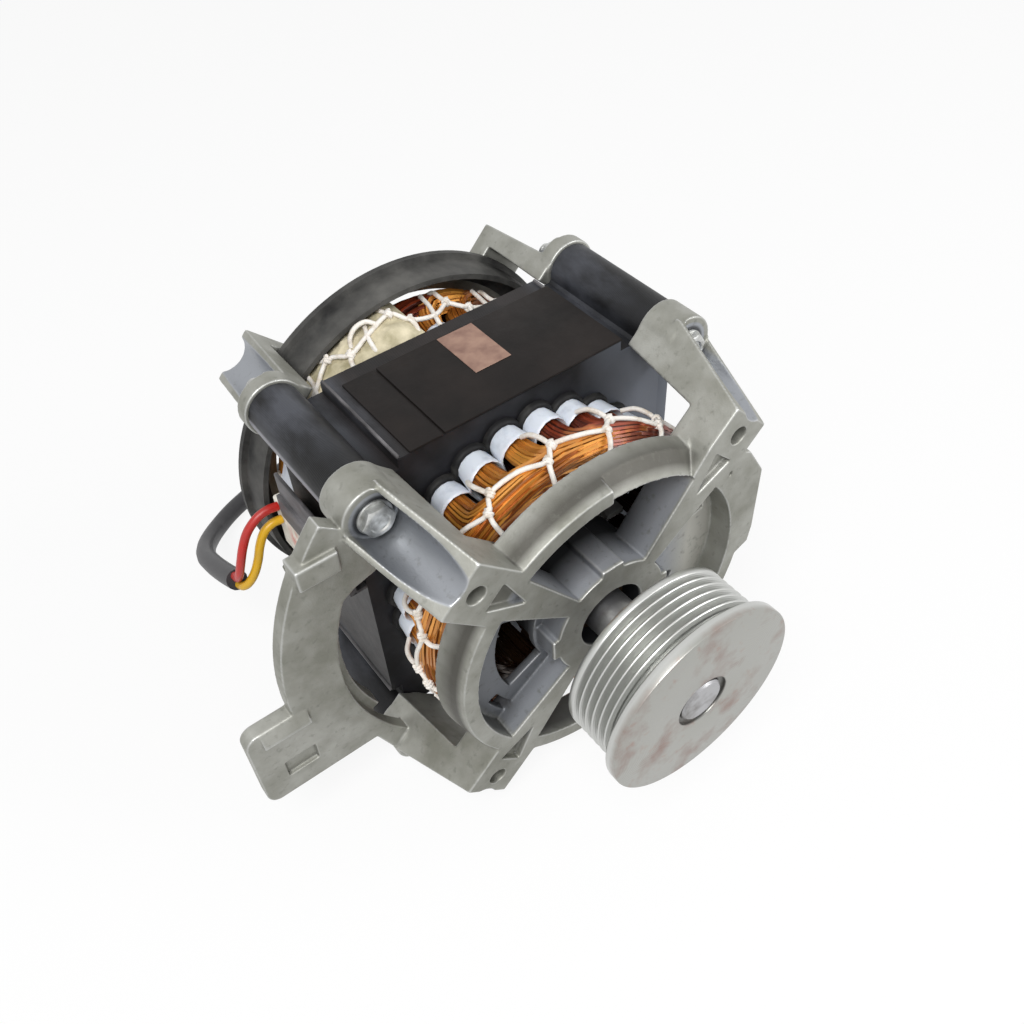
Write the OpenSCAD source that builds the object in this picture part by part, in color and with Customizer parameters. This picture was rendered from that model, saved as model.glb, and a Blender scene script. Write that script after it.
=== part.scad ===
// Open-frame induction motor of a belt-driven washing machine.
// Origin on the shaft axis at the front mounting face, +Z up, +Y to the rear, millimetres.

/* [Mounting] */
// Side of the square of mounting holes in the front face
mount_square = 80; // [76:0.5:82]
// Diameter of the mounting holes
mount_hole_d = 5.2; // [4:0.1:6]
// Reach of the side lug from the shaft axis
lug_reach = 94; // [88:1:105]
// Height of the side lug
lug_height = 31; // [24:1:36]
// Thickness of the side flange and its lug
flange_t = 4.5; // [3:0.25:7]

/* [Shaft and pulley] */
// Diameter of the shaft
shaft_d = 12.7; // [11:0.1:13.5]
// Bare shaft between the front face and the pulley
pulley_gap = 13.5; // [10:0.5:25]
// Width of the pulley
pulley_w = 20; // [19:0.5:26]
// Diameter of the pulley's front flange
pulley_d = 56.6; // [54:0.2:64]
// Diameter over the ribs
rib_d = 51.6; // [49:0.2:53]
// Pitch of the ribs
rib_pitch = 2.34; // [2.2:0.01:2.5]
// Depth of the grooves between the ribs
groove_depth = 2.2; // [1.2:0.1:2.6]
// Grooves in the pulley
groove_count = 6; // [4:1:6]

/* [Stator] */
// Length of the lamination stack
stack_l = 37; // [33:0.5:48]
// Height of the stack's raised side faces from the axis
stack_face = 49.3; // [48:0.1:50.5]
// Width of the stack's raised side faces
stack_face_w = 69.2; // [60:0.5:72]
// Depth of the step beside a raised side face
stack_step = 3.2; // [2:0.1:4]
// Square of the through bolts
bolt_square = 95.6; // [95:0.2:98]
// Radius of the stack's round corners
corner_r = 7.3; // [6:0.1:8]
// Diameter of the stator bore
bore_d = 58; // [56:0.2:59]
// Radial depth of a slot beyond its mouth
slot_depth = 12; // [11.6:0.1:12.6]
// Radius of the round end of a slot
slot_end_r = 3.6; // [3.4:0.05:3.8]
// Width of a slot at its mouth side
slot_in_w = 5.6; // [5.5:0.05:6]

/* [Winding] */
// Radius of one wound bundle
bundle_r = 2.4; // [2:0.05:2.45]
// Reach of the front coil ends past the stack
front_coil_reach = 21.75; // [20:0.25:22.5]
// Reach of the rear coil ends past the stack
rear_coil_reach = 18.5; // [17:0.5:19]
// Thickness of the lacing cord
lacing_d = 1.6; // [1:0.1:2]

/* [Shields] */
// Distance from the front face to the stack
front_depth = 38.5; // [38:0.25:44]
// Distance from the stack to the rear face
rear_depth = 30.65; // [29:0.05:36]
// Length of the front corner bosses between a bolt seat and the stack
boss_l = 10.55; // [9:0.05:14]
// Length of the rear corner bosses between a nut seat and the stack
rear_boss_l = 4.5; // [3:0.25:10]
// Radius of the corner bosses
boss_r = 8.2; // [8:0.1:9]
// Radius of the troughs that lead to the bolts
trough_r = 6.3; // [5.8:0.1:6.8]
// Wall of the troughs
trough_wall = 1.7; // [1.4:0.1:1.8]
// Outer radius of the front ring
ring_r = 47.2; // [46:0.1:48]
// Radial width of the front ring
ring_w = 4.5; // [3.5:0.1:6]
// Depth of the front ring
ring_depth = 10; // [8:0.25:11]
// Thickness of the arms of the rear shield
rear_arm_t = 6.5; // [5:0.25:7]
// Radius of the bearing hub
hub_r = 17.8; // [17.4:0.1:19]
// Length of the bearing hub
hub_l = 21; // [19:0.25:23]
// Radius of the opening in the hub's outer face
hub_hole_r = 10.1; // [9.8:0.05:10.2]

/* [Bearings and rotor] */
// Radius of the ball-shaped bearing bush
bush_r = 10.5; // [10.3:0.05:10.8]
// Length of the bearing bush
bush_l = 14; // [12:0.5:15]
// Air gap between rotor and stator
air_gap = 0.4; // [0.3:0.05:0.6]
// Thickness of the rotor's end rings
end_ring_t = 5.5; // [4:0.25:7]
// Fan blades on one end ring
blade_count = 10; // [6:1:14]
// Length of the fan blades
blade_l = 6; // [4:0.5:7]

/* [Fits] */
// Radial running clearance of the shaft in its bushes
run_clear = 0.05; // [0.03:0.01:0.08]
// Clearance between pieces that are seated on each other
seat_clear = 0.05; // [0.03:0.01:0.1]
// Clearance between pieces that stay free of each other
free_clear = 0.3; // [0.2:0.05:0.5]
// Radial clearance of the through bolts in their holes
bolt_clear = 0.3; // [0.1:0.05:0.5]

/* [Through bolts] */
// Diameter of the through bolts
bolt_d = 5; // [4:0.25:5.5]
// Width across the flats of the bolt heads and nuts
hex_w = 8; // [7:0.25:8.5]
// Height of the bolt heads and nuts
hex_h = 4; // [3:0.25:5]
// Radius of the flange under the heads and nuts
hex_flange_r = 5.4; // [5:0.1:5.6]

/* [Top cover and label] */
// Width of the cover on the stack's top face
cover_w = 56; // [40:1:60]
// Length of the cover
cover_l = 31.8; // [20:0.2:32]
// Thickness of the cover
cover_t = 0.8; // [0.5:0.1:1.2]
// Width of the blank label
label_w = 11.2; // [8:0.2:16]
// Length of the blank label
label_l = 18; // [10:0.5:24]

/* [Lead] */
// Diameter of the lead's sheath
sheath_d = 6.4; // [6:0.1:6.6]
// Diameter of the two wires
wire_d = 2.6; // [2:0.1:2.8]
// Width of the connector at the lead's end
plug_w = 20; // [16:0.5:24]
// Length of the connector
plug_l = 24; // [18:0.5:30]
// Height of the connector
plug_h = 11; // [9:0.5:14]

/* [Hidden] */
$fn = 96;
eps = 0.01;
quarter = 90;
diagonals = [45, 135, 225, 315];

// Places along the shaft
stack_front = front_depth;
stack_rear = stack_front + stack_l;
rear_face = stack_rear + rear_depth;
pulley_back = -pulley_gap;
pulley_front = pulley_back - pulley_w;

// Through bolts and mounting holes on the diagonals, as distances from the axis
bolt_u = bolt_square / sqrt(2);
mount_u = mount_square / sqrt(2);
bolt_hole_r = bolt_d / 2 + bolt_clear;

// Bearing seats
bore_r = bore_d / 2;
shaft_r = shaft_d / 2;
bush_bore_r = shaft_r + run_clear;
bush_seat = 9;
bush_mid = bush_seat + seat_clear + sqrt(bush_r * bush_r - hub_hole_r * hub_hole_r);
felt_pocket_r = hub_r - 1.9;
retainer_t = 0.8;
retainer_hole_r = 9.6;
retainer_y = bush_mid + sqrt(bush_r * bush_r - retainer_hole_r * retainer_hole_r) + seat_clear;

// Slots
slot_count = 24;
slot_pitch = 360 / slot_count;
slot_mouth = 2;
slot_mouth_w = 2.4;
slot_in_r = bore_r + slot_mouth;
slot_out_r = slot_in_r + slot_depth;
slot_end_at = slot_out_r - slot_end_r;
liner_t = 0.35;
liner_reach = 4.2;
cuff_t = 0.7;
cuff_l = 3.2;

// Shapes on the y axis: an outline in x and z drawn out along y, and a turned profile in r and y
module along_y(from, length) {
    translate([0, from + length, 0]) rotate([90, 0, 0]) linear_extrude(length) children();
}
module turned() {
    rotate([-90, 0, 0]) rotate_extrude() children();
}
module spun(angle) {
    rotate([0, -angle, 0]) children();
}
module rod(r, from, length, at = [0, 0]) {
    translate([at[0], from, at[1]]) rotate([-90, 0, 0]) cylinder(r = r, h = length);
}
module tube(r_out, r_in, from, length) {
    difference() {
        rod(r_out, from, length);
        rod(r_in, from - 1, length + 2);
    }
}
// A wedge of the x-z plane between two angles, up to a half turn
module wedge(from, to, reach) {
    mid = (from + to) / 2;
    far = reach * 2;
    polygon([[0, 0], far * [cos(from), sin(from)], far * [cos(mid), sin(mid)], far * [cos(to), sin(to)]]);
}
module arc_band(r_in, r_out, from, to) {
    intersection() {
        difference() {
            circle(r_out);
            circle(r_in);
        }
        wedge(from, to, r_out);
    }
}
module round_plate(low, high, r) {
    for (x = [low[0] + r, high[0] - r], y = [low[1] + r, high[1] - r]) translate([x, y]) circle(r);
    translate([low[0] + r, low[1]]) square([high[0] - low[0] - 2 * r, high[1] - low[1]]);
    translate([low[0], low[1] + r]) square([high[0] - low[0], high[1] - low[1] - 2 * r]);
}

// Hub that holds the ball-shaped bush, drawn from its outer face inwards
hub_lug_w = 7;
hub_lug = 1.6;
module hub_outline() {
    circle(hub_r);
    for (a = [0:quarter:270]) rotate(a)
        translate([0, -hub_lug_w / 2]) square([hub_r + hub_lug, hub_lug_w]);
}
module hub_hollow() {
    rod(hub_hole_r, -1, bush_seat + 2);
    rod(felt_pocket_r, bush_seat, hub_l);
}

// One corner of a shield on the local x axis: trough, bolt seat, and boss on its block
seat_web = 2;
boss_rise = 0.6;
block_set = 0.4;
module corner(depth, seat, lip_front, lip_rear, root, arm_t, floor_drop = 0) {
    half = trough_r + trough_wall;
    floor_out = bolt_u - half;
    difference() {
        union() {
            translate([0, 0, -half]) linear_extrude(2 * half) polygon([
                [root, 0], [lip_front, 0], [lip_rear, seat], [lip_rear, seat + seat_web],
                [bolt_u, seat + seat_web], [bolt_u, depth - block_set], [floor_out, depth - block_set],
                [floor_out - floor_drop, arm_t], [root, arm_t]
            ]);
            rod(boss_r, seat - boss_rise, depth - seat + boss_rise, [bolt_u, 0]);
        }
        rod(trough_r, -1, seat + 1, [bolt_u, 0]);
        translate([bolt_u, -1, -trough_r]) cube([lip_rear, seat + 1, 2 * trough_r]);
        rod(bolt_hole_r, seat - 1, depth, [bolt_u, 0]);
    }
}

// Front shield
arm_half = 8;
front_seat = front_depth - boss_l;
flange_y = front_seat + 0.4;
front_lip = [62.2, 72];
front_floor_drop = 3.2;
ring_in_r = ring_r - ring_w;
ring_flare = 1.8;
arm_t = ring_depth + 2;
floor_y = 7.5;
floor_t = 2.5;
// Openings in the sunk floors: inner radius, outer radius, first angle, last angle
floor_holes = [
    [hub_r + 2.5, hub_r + 14.5, 156, 207], [ring_in_r - 6.5, ring_in_r - 3.5, 204, 217],
    [ring_in_r - 7, ring_in_r - 3, 13, 21], [hub_r + 5, hub_r + 8.5, 2, 22], [hub_r + 9, hub_r + 13, -33, -20]
];
relief_from = 54;
relief_to = 91;
relief_depth = 8;
pocket_depth = 2.2;
pocket = [18.5, 6.5, 4];
flange_in_r = 65;
flange_out_r = 80.5;
flange_top = 139;
lug_top = -3.8;
lug_r = 4;
lug_recess = [9, 6.5];
lug_recess_at = [-82, -24];
lug_recess_depth = 1.4;
lip_h = 1.7;
lip_w = 5.4;
flange_web = [[-60, 25.5], [-56, 28], [-50, 29.8], [-46, 38], [-52, 46], [-66, 42]];
step_at = [-69.5, 38];
step_size = [11, 6.5];
step_h = 1.8;
rim_t = 2.6;
rim_l = 6;
pad_out = 52;
pad_depth = 9;
lug_low = lug_top - lug_height;
module mount_pocket() {
    polygon([[mount_u - pocket[0], 0], [mount_u - pocket[1], pocket[2]], [mount_u - pocket[1], -pocket[2]]]);
}
module front_plate() {
    turned() polygon([
        [ring_in_r, 0], [ring_r, 0], [ring_r + ring_flare, ring_depth], [ring_in_r, ring_depth]
    ]);
    along_y(0, arm_t) for (a = diagonals) rotate(a) arc_band(hub_r - 1, ring_in_r + 1, -arm_half, arm_half);
    along_y(0, hub_l) hub_outline();
    along_y(floor_y, floor_t) difference() {
        union() {
            arc_band(hub_r - 1, ring_in_r + 1, 180 - quarter / 2, 180 + quarter / 2);
            arc_band(hub_r - 1, ring_in_r + 1, -quarter / 2, quarter / 2);
        }
        for (h = floor_holes) arc_band(h[0], h[1], h[2], h[3]);
    }
}
// Slope that takes the ring's front edge off beside the upper right arm
module ring_relief() {
    intersection() {
        turned() polygon([
            [ring_in_r - 1, -1], [ring_r + ring_w, -1], [ring_r + ring_w, relief_depth], [ring_in_r - 1, 0]
        ]);
        along_y(-2, ring_depth) wedge(relief_from, relief_to, ring_r + ring_w);
    }
}
module side_flange() {
    far = lug_reach + lug_height;
    low_corner = [-60.7, lug_low];
    boss_side = -bolt_square / 2 - boss_r + 0.5;
    along_y(flange_y, flange_t) {
        difference() {
            union() {
                intersection() {
                    circle(flange_out_r);
                    polygon([
                        [0, 0], far * [cos(flange_top), sin(flange_top)], [-far, 0], [-far, lug_low],
                        low_corner, [boss_side, -bolt_square / 2], [0, -bolt_square / 2]
                    ]);
                }
                round_plate([-lug_reach, lug_low], [-flange_in_r - 5, lug_top], lug_r);
            }
            circle(flange_in_r);
        }
        polygon(flange_web);
    }
    along_y(flange_y + flange_t - eps, rim_l) arc_band(flange_in_r - rim_t, flange_in_r + 0.6, 160, 206);
    translate([step_at[0], flange_y - step_h, step_at[1]])
        cube([step_size[0], step_h + flange_t, step_size[1]]);
    translate([-lug_reach + lug_r, flange_y + eps, lug_top]) rotate([quarter, 0, quarter])
        linear_extrude(lug_reach - lug_r - flange_out_r + lug_r) polygon([
            [0, 0], [-lip_h, -lip_w + 1.5], [-lip_h, -lip_w + 0.4], [0, -lip_w]
        ]);
}
module side_pad() {
    along_y(0, pad_depth) difference() {
        polygon([
            [40, 34], [46, 31], [pad_out, 21], [pad_out, -1],
            [pad_out - 1, -7], [pad_out - 5.5, -9], [38, -12]
        ]);
        circle(ring_in_r + 1);
    }
}
module front_shield() color("darkgray") {
    difference() {
        union() {
            front_plate();
            for (a = diagonals) spun(a)
                corner(
                    front_depth, front_seat, front_lip[0], front_lip[1], ring_in_r + 1, arm_t,
                    front_floor_drop
                );
            side_flange();
            side_pad();
        }
        hub_hollow();
        ring_relief();
        for (a = diagonals) spun(a) {
            rod(mount_hole_d / 2, -1, arm_t + 1 + eps, [mount_u, 0]);
            along_y(-1, pocket_depth + 1) mount_pocket();
            rod(bolt_hole_r, front_seat - 1, front_depth, [bolt_u, 0]);
        }
        along_y(flange_y - 1, lug_recess_depth + 1)
            translate(lug_recess_at) square(lug_recess, center = true);
    }
}

// Rear shield, drawn like the front one and turned round
rear_seat = rear_depth - rear_boss_l;
rear_lip = [64.6, 66.8];
rear_ring_r = 51;
rear_ring_w = 6;
bar_set = 0.4;
module rear_shield() color("darkgray") {
    translate([0, rear_face, 0]) mirror([0, 1, 0]) difference() {
        union() {
            tube(rear_ring_r, rear_ring_r - rear_ring_w, 0, rear_arm_t);
            along_y(0, rear_arm_t) for (a = diagonals) rotate(a)
                arc_band(hub_r - 1, rear_ring_r - rear_ring_w + 1, -arm_half, arm_half);
            along_y(0, hub_l) hub_outline();
            for (a = diagonals) spun(a)
                corner(
                    rear_depth, rear_seat, rear_lip[0], rear_lip[1], rear_ring_r - 2, rear_arm_t - bar_set
                );
        }
        hub_hollow();
    }
}

// Lamination stack
corner_neck = 4.5;
module slot_outline(inset) {
    half_in = slot_in_w / 2 - inset;
    half_out = slot_end_r - inset;
    polygon([
        [slot_in_r + inset, -half_in], [slot_end_at, -half_out],
        [slot_end_at, half_out], [slot_in_r + inset, half_in]
    ]);
    translate([slot_end_at, 0]) circle(half_out, $fn = 48);
}
module each_slot() {
    for (k = [0:slot_count - 1]) rotate((k + 0.5) * slot_pitch) children();
}
module stator_core() color([0.13, 0.12, 0.12]) along_y(stack_front, stack_l) difference() {
    union() {
        square(2 * (stack_face - stack_step), center = true);
        square([stack_face_w, 2 * stack_face], center = true);
        square([2 * stack_face, stack_face_w], center = true);
        for (a = diagonals) rotate(a) {
            translate([bolt_u, 0]) circle(corner_r);
            translate([bolt_u - 2 * corner_neck, -corner_neck]) square([2 * corner_neck, 2 * corner_neck]);
        }
    }
    circle(bore_r);
    each_slot() {
        slot_outline(0);
        translate([bore_r - 1, -slot_mouth_w / 2]) square([slot_mouth + 2, slot_mouth_w]);
    }
    for (a = diagonals) rotate(a) translate([bolt_u, 0]) circle(bolt_hole_r);
}

// Insulating liners in the slots, with a folded cuff at both ends
module slot_liners() color([0.16, 0.15, 0.15]) {
    along_y(stack_front - liner_reach, stack_l + 2 * liner_reach) each_slot() difference() {
        slot_outline(seat_clear);
        slot_outline(seat_clear + liner_t);
        translate([slot_in_r - 1, -slot_end_r]) square([1.8, 2 * slot_end_r]);
    }
}
module slot_cuffs() color("white") {
    for (y = [stack_front - liner_reach, stack_rear + liner_reach - cuff_l]) along_y(y, cuff_l)
        each_slot() difference() {
            slot_outline(-cuff_t);
            slot_outline(0);
            translate([slot_in_r - 2, -slot_end_r - 1]) square([3.6, 2 * slot_end_r + 2]);
        }
}

// Winding: one tube that passes every slot twice, inner layer out and outer layer back
loops = 24;
turn_rings = 10;
tube_sides = 6;
rear_span = 4;
front_span = 5;
layer_in = slot_in_r + 0.35 + seat_clear + liner_t + bundle_r;
layer_out = slot_out_r - 0.1 - seat_clear - liner_t - bundle_r;
end_in = 36.2;
end_out = 44.4;
exit_y = liner_reach + 0.8;
function smooth(t) = t < 0 ? 0 : t > 1 ? 1 : t * t * (3 - 2 * t);
function mix(a, b, t) = a + (b - a) * t;
function slot_angle(k) = (k + 0.5) * slot_pitch;
function at(r, a, y) = [r * cos(a), y, r * sin(a)];
crown_power = 1.15;
cross_share = 0.1;
function crown(t) = 1 - pow(abs(2 * t - 1), crown_power);
function layer(t, from, end_from, end_to, to) = let (mid = (end_from + end_to) / 2) t < 0.5
    ? mix(mix(from, end_from, smooth(t * 4)), mid, smooth((t - 0.5 + cross_share) / cross_share))
    : mix(mix(to, end_to, smooth((1 - t) * 4)), mid, smooth((0.5 + cross_share - t) / cross_share));
function rear_turn(k, t) = at(
    layer(t, layer_in, end_in, end_out, layer_out), slot_angle(k + rear_span * t),
    stack_rear + exit_y + (rear_coil_reach - exit_y) * crown(t));
function front_turn(k, t) = at(
    layer(t, layer_out, end_out, end_in, layer_in), slot_angle(k + rear_span - front_span * t),
    stack_front - exit_y - (front_coil_reach - exit_y) * crown(t));
function loop_points(k) = concat(
    [at(layer_in, slot_angle(k), stack_front - exit_y), at(layer_in, slot_angle(k), stack_rear + exit_y)],
    [for (i = [1:turn_rings]) rear_turn(k, i / (turn_rings + 1))],
    [at(layer_out, slot_angle(k + rear_span), stack_rear + exit_y),
     at(layer_out, slot_angle(k + rear_span), stack_front - exit_y)],
    [for (i = [1:turn_rings]) front_turn(k, i / (turn_rings + 1))]);
last_ring = turn_rings + 3;
winding_path = [for (k = [0:loops - 1], i = [0:2 * turn_rings + 3])
    if (k < loops - 1 || i <= last_ring) loop_points(-k)[i]];

// A closed tube of triangles along a path, its rings turned to the path's direction
function unit(v) = v / norm(v);
function direction(path, i) = unit(path[min(i + 1, len(path) - 1)] - path[max(i - 1, 0)]);
function ring(path, i, r, sides, side) = let (
        d = direction(path, i), e = unit(side - (side * d) * d), f = cross(d, e))
    [for (k = [0:sides - 1]) path[i] + r * (e * cos(360 * k / sides) + f * sin(360 * k / sides))];
function tube_faces(n, sides) = concat(
    [for (i = [0:n - 2], k = [0:sides - 1]) each
        let (a = i * sides + k, b = i * sides + (k + 1) % sides)
        [[a, b, b + sides], [a, b + sides, a + sides]]],
    [for (k = [1:sides - 2]) [0, k + 1, k]],
    [for (k = [1:sides - 2]) (n - 1) * sides * [1, 1, 1] + [0, k, k + 1]]);
module swept(path, r, sides, outward = false) {
    points = [for (i = [0:len(path) - 1]) each
        ring(path, i, r, sides, outward ? unit([path[i][0], 0, path[i][2]]) : [0.31, 0.17, 0.94])];
    polyhedron(points, [for (f = tube_faces(len(path), sides)) [f[0], f[2], f[1]]], convexity = 10);
}
// Least gap of the winding to itself, on points along the first loop and the loops beside it
gap_steps = 3;
gap_near = 8;
gap_loops = 5;
function filled(p) = [for (i = [0:len(p) - 2], j = [0:gap_steps - 1]) mix(p[i], p[i + 1], j / gap_steps)];
loop_lines = [for (k = [0:gap_loops]) filled(concat(loop_points(-k), [loop_points(-k - 1)[0]]))];
loop_size = len(loop_lines[0]);
winding_gap = min([for (k = [1:gap_loops], i = [0:loop_size - 1], j = [0:loop_size - 1])
    if (k * loop_size + j - i > gap_near) norm(loop_lines[0][i] - loop_lines[k][j])]) - 2 * bundle_r;
echo(winding_gap = winding_gap);
module stator_winding() color([0.55, 0.3, 0.12]) swept(winding_path, bundle_r, tube_sides, true);

// Lacing rings and the wrap of the rear coil ends
lacing_r = end_out + bundle_r + free_clear + lacing_d / 2;
front_lacing_y = [stack_front - 13.6, stack_front - 19.6];
rear_lacing_y = [stack_rear + 9, stack_rear + 15];
wrap_from = 92;
wrap_to = 158;
wrap_t = 3.8;
wrap_gap = 0.6;
wrap_in = lacing_r + lacing_d / 2 + free_clear;
wrap_out = wrap_in + wrap_t;
module lacing(y) {
    turned() translate([lacing_r, y]) circle(lacing_d / 2, $fn = 24);
}
module front_lacing() color("ivory") for (y = front_lacing_y) lacing(y);
module rear_lacing() color("ivory") for (y = rear_lacing_y) lacing(y);
module rear_wrap() color([0.75, 0.72, 0.6])
    along_y(stack_rear + wrap_gap, rear_coil_reach) arc_band(wrap_in, wrap_out, wrap_from, wrap_to);

// Black ring that guides the cooling air over the rear coil ends
baffle_t = 2.4;
baffle_clear = 0.8;
baffle_r = wrap_out + baffle_clear + baffle_t;
baffle_l = 11.5;
baffle_lip = 1.2;
module rear_baffle() color([0.12, 0.12, 0.12]) {
    rear_y = rear_face - rear_arm_t - seat_clear;
    turned() polygon([
        [baffle_r - baffle_t, rear_y - baffle_l], [baffle_r - 0.8, rear_y - baffle_l],
        [baffle_r - 0.4, rear_y - 2.2], [baffle_r + baffle_lip, rear_y - 1.8],
        [baffle_r + baffle_lip, rear_y], [rear_ring_r - 2, rear_y], [rear_ring_r - 2, rear_y - 1.6],
        [baffle_r - baffle_t, rear_y - 1.6]
    ]);
}

// Overheat cut-out tied to the rear coil ends
protector = [14, 11, 3.4];
module thermal_protector() color([0.2, 0.2, 0.22]) {
    low = -lacing_r - lacing_d / 2 - free_clear - protector[2];
    translate([-protector[0] / 2, stack_rear + 6, low]) cube([protector[0], protector[1], protector[2]]);
}

// Cover and blank label on the stack's top face
cover_x = -21;
module top_cover() color([0.15, 0.13, 0.12]) {
    translate([cover_x, stack_front, stack_face]) cube([cover_w, cover_l, cover_t]);
}
label_at = [3.2, 22.25];
label_t = 0.2;
module blank_label() color([0.66, 0.5, 0.42]) {
    translate([label_at[0] - label_w / 2, stack_front + label_at[1] - label_l / 2, stack_face + cover_t])
        cube([label_w, label_l, label_t]);
}

// Through bolts with flanged hexagon heads, and their nuts
bolt_from = front_seat;
bolt_to = stack_rear + rear_boss_l;
bolt_tail = 2.5;
hex_flange_t = 1.2;
module hexagon(from, height) {
    rod(hex_flange_r, from, hex_flange_t);
    along_y(from - height, height + eps) circle(hex_w / sqrt(3), $fn = 6);
}
module at_bolts() {
    for (a = diagonals) spun(a) translate([bolt_u, 0, 0]) children();
}
module through_bolts() color("silver") at_bolts() {
    hexagon(bolt_from - hex_flange_t, hex_h);
    rod(bolt_d / 2, bolt_from - eps, bolt_to - bolt_from + hex_flange_t + hex_h + bolt_tail);
}
module bolt_nuts() color("silver") at_bolts() difference() {
    translate([0, bolt_to, 0]) mirror([0, 1, 0]) translate([0, -hex_flange_t, 0]) hexagon(0, hex_h);
    rod(bolt_d / 2 + seat_clear, bolt_to - 1, hex_h + hex_flange_t + 3);
}

// Bearings: ball-shaped sintered bush, oil felt round it and the spring plate that holds it
module bush() {
    turned() translate([0, bush_mid]) intersection() {
        circle(bush_r);
        translate([bush_bore_r, -bush_l / 2]) square([bush_r, bush_l]);
    }
}
module felt() {
    gap = bush_r + free_clear;
    tube(felt_pocket_r - seat_clear, gap, bush_seat + seat_clear, retainer_y - bush_seat - 2 * seat_clear);
}
retainer_teeth = 8;
module retainer() along_y(retainer_y, retainer_t) difference() {
    circle(felt_pocket_r - seat_clear);
    circle(retainer_hole_r);
    for (k = [0:retainer_teeth - 1]) rotate((k + 0.5) * 360 / retainer_teeth)
        translate([retainer_hole_r - 1, -1]) square([3.6, 2]);
}
module at_rear() {
    translate([0, rear_face, 0]) mirror([0, 1, 0]) children();
}
module front_bush() color([0.45, 0.36, 0.24]) bush();
module front_felt() color([0.55, 0.52, 0.45]) felt();
module front_retainer() color("gray") retainer();
module rear_bush() color([0.45, 0.36, 0.24]) at_rear() bush();
module rear_felt() color([0.55, 0.52, 0.45]) at_rear() felt();
module rear_retainer() color("gray") at_rear() retainer();

// Shaft, with grooves for its clips
clip_t = 1.2;
clip_depth = 0.8;
washer_t = 1.5;
washer_r = 9.2;
thrust_gap = 0.25;
bush_back = bush_mid + bush_l / 2;
washer_y = bush_back + thrust_gap;
clip_y = washer_y + washer_t + seat_clear;
shaft_tail = 3;
clip_places = [clip_y, rear_face - clip_y - clip_t];
shaft_from = pulley_front;
shaft_to = rear_face - shaft_tail;
edge = 0.6;
module shaft() color("silver") difference() {
    turned() polygon([
        [0, shaft_from], [shaft_r - edge, shaft_from], [shaft_r, shaft_from + edge],
        [shaft_r, shaft_to - edge], [shaft_r - edge, shaft_to], [0, shaft_to]
    ]);
    for (y = clip_places) tube(shaft_r + 1, shaft_r - clip_depth, y - seat_clear, clip_t + 2 * seat_clear);
}
module shaft_clips() color("gray") for (y = clip_places) along_y(y, clip_t) difference() {
    circle(shaft_r + 2.2);
    circle(shaft_r - clip_depth + seat_clear);
    translate([0, -shaft_r * 0.7]) square([shaft_r + 3, shaft_r * 1.4]);
}
module thrust_washer() {
    tube(washer_r, shaft_r + run_clear, washer_y, washer_t);
}
module front_thrust_washer() color([0.35, 0.22, 0.12]) thrust_washer();
module rear_thrust_washer() color([0.35, 0.22, 0.12]) at_rear() thrust_washer();

// Squirrel-cage rotor: core on the shaft, cast end rings with fan blades
press_clear = 0.02;
rotor_r = bore_r - air_gap;
end_ring_out = rotor_r - 0.8;
end_ring_in = 21;
blade_t = 2;
module rotor_core() color([0.3, 0.3, 0.3]) tube(rotor_r, shaft_r + press_clear, stack_front, stack_l);
module end_ring() {
    tube(end_ring_out, end_ring_in, -end_ring_t, end_ring_t);
    for (k = [0:blade_count - 1]) spun(k * 360 / blade_count)
        translate([end_ring_in + 0.5, -end_ring_t - blade_l, -blade_t / 2])
            cube([end_ring_out - end_ring_in - 1, blade_l + eps, blade_t]);
}
module front_end_ring() color("lightgray") translate([0, stack_front, 0]) end_ring();
module rear_end_ring() color("lightgray") translate([0, stack_rear, 0]) mirror([0, 1, 0]) end_ring();

// Ribbed belt pulley, pressed on the shaft
rib_r = rib_d / 2;
groove_r = rib_r - groove_depth;
rib_flat = 0.5;
rim_w = 3.2;
rim_slope = 2.4;
rim_round = 0.8;
ribs_at = pulley_back - 1.9;
face_groove = [1.3, 1];
function rib_points() = [for (k = [0:groove_count - 1]) each let (y = ribs_at - k * rib_pitch) [
    [rib_r, y], [groove_r, y - rib_pitch / 2 + rib_flat / 2],
    [groove_r, y - rib_pitch / 2 - rib_flat / 2], [rib_r, y - rib_pitch + rib_flat]]];
module pulley() color([0.72, 0.72, 0.7]) {
    bore = shaft_r + press_clear;
    out_r = pulley_d / 2;
    turned() polygon(concat(
        [[bore, pulley_back], [rib_r - edge, pulley_back], [rib_r, pulley_back - edge]],
        rib_points(),
        [[groove_r + 0.8, pulley_front + rim_w + rim_slope], [out_r - rim_round, pulley_front + rim_w],
         [out_r, pulley_front + rim_w - rim_round], [out_r, pulley_front + rim_round],
         [out_r - rim_round, pulley_front], [bore + face_groove[0], pulley_front],
         [bore + face_groove[0], pulley_front + face_groove[1]], [bore, pulley_front + face_groove[1]]]));
}

// Supply lead: two wires from the insulator on the stack's side into a sheath with a connector
insulator = [4, 24, 20];
insulator_at = [-stack_face - insulator[0] - seat_clear, stack_rear + 8.45 - insulator[1], -6];
floor_z = -(front_lip[1] + trough_r + trough_wall) / sqrt(2);
sheath_z = floor_z + sheath_d / 2;
module lead_insulator() color("whitesmoke") translate(insulator_at) cube(insulator);
red_route = [
    [-53.5, 80, 12.3], [-57, 80, 12.7], [-60.5, 80, 11.6], [-64, 80, 8.5], [-66.5, 80, 4],
    [-68.3, 80.3, -1], [-69.5, 81.4, -6], [-70, 83.7, -10], [-70, 86.6, -11.75]
];
yellow_route = [
    [-53.5, 80, 7], [-56.5, 80, 7.2], [-59.5, 80, 5.5], [-61.8, 80, 1.5], [-63.5, 80, -3],
    [-65.7, 80, -7.3], [-68, 80.6, -10.6], [-69.6, 82.2, -12.6], [-70, 85.1, -14.3]
];
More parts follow.
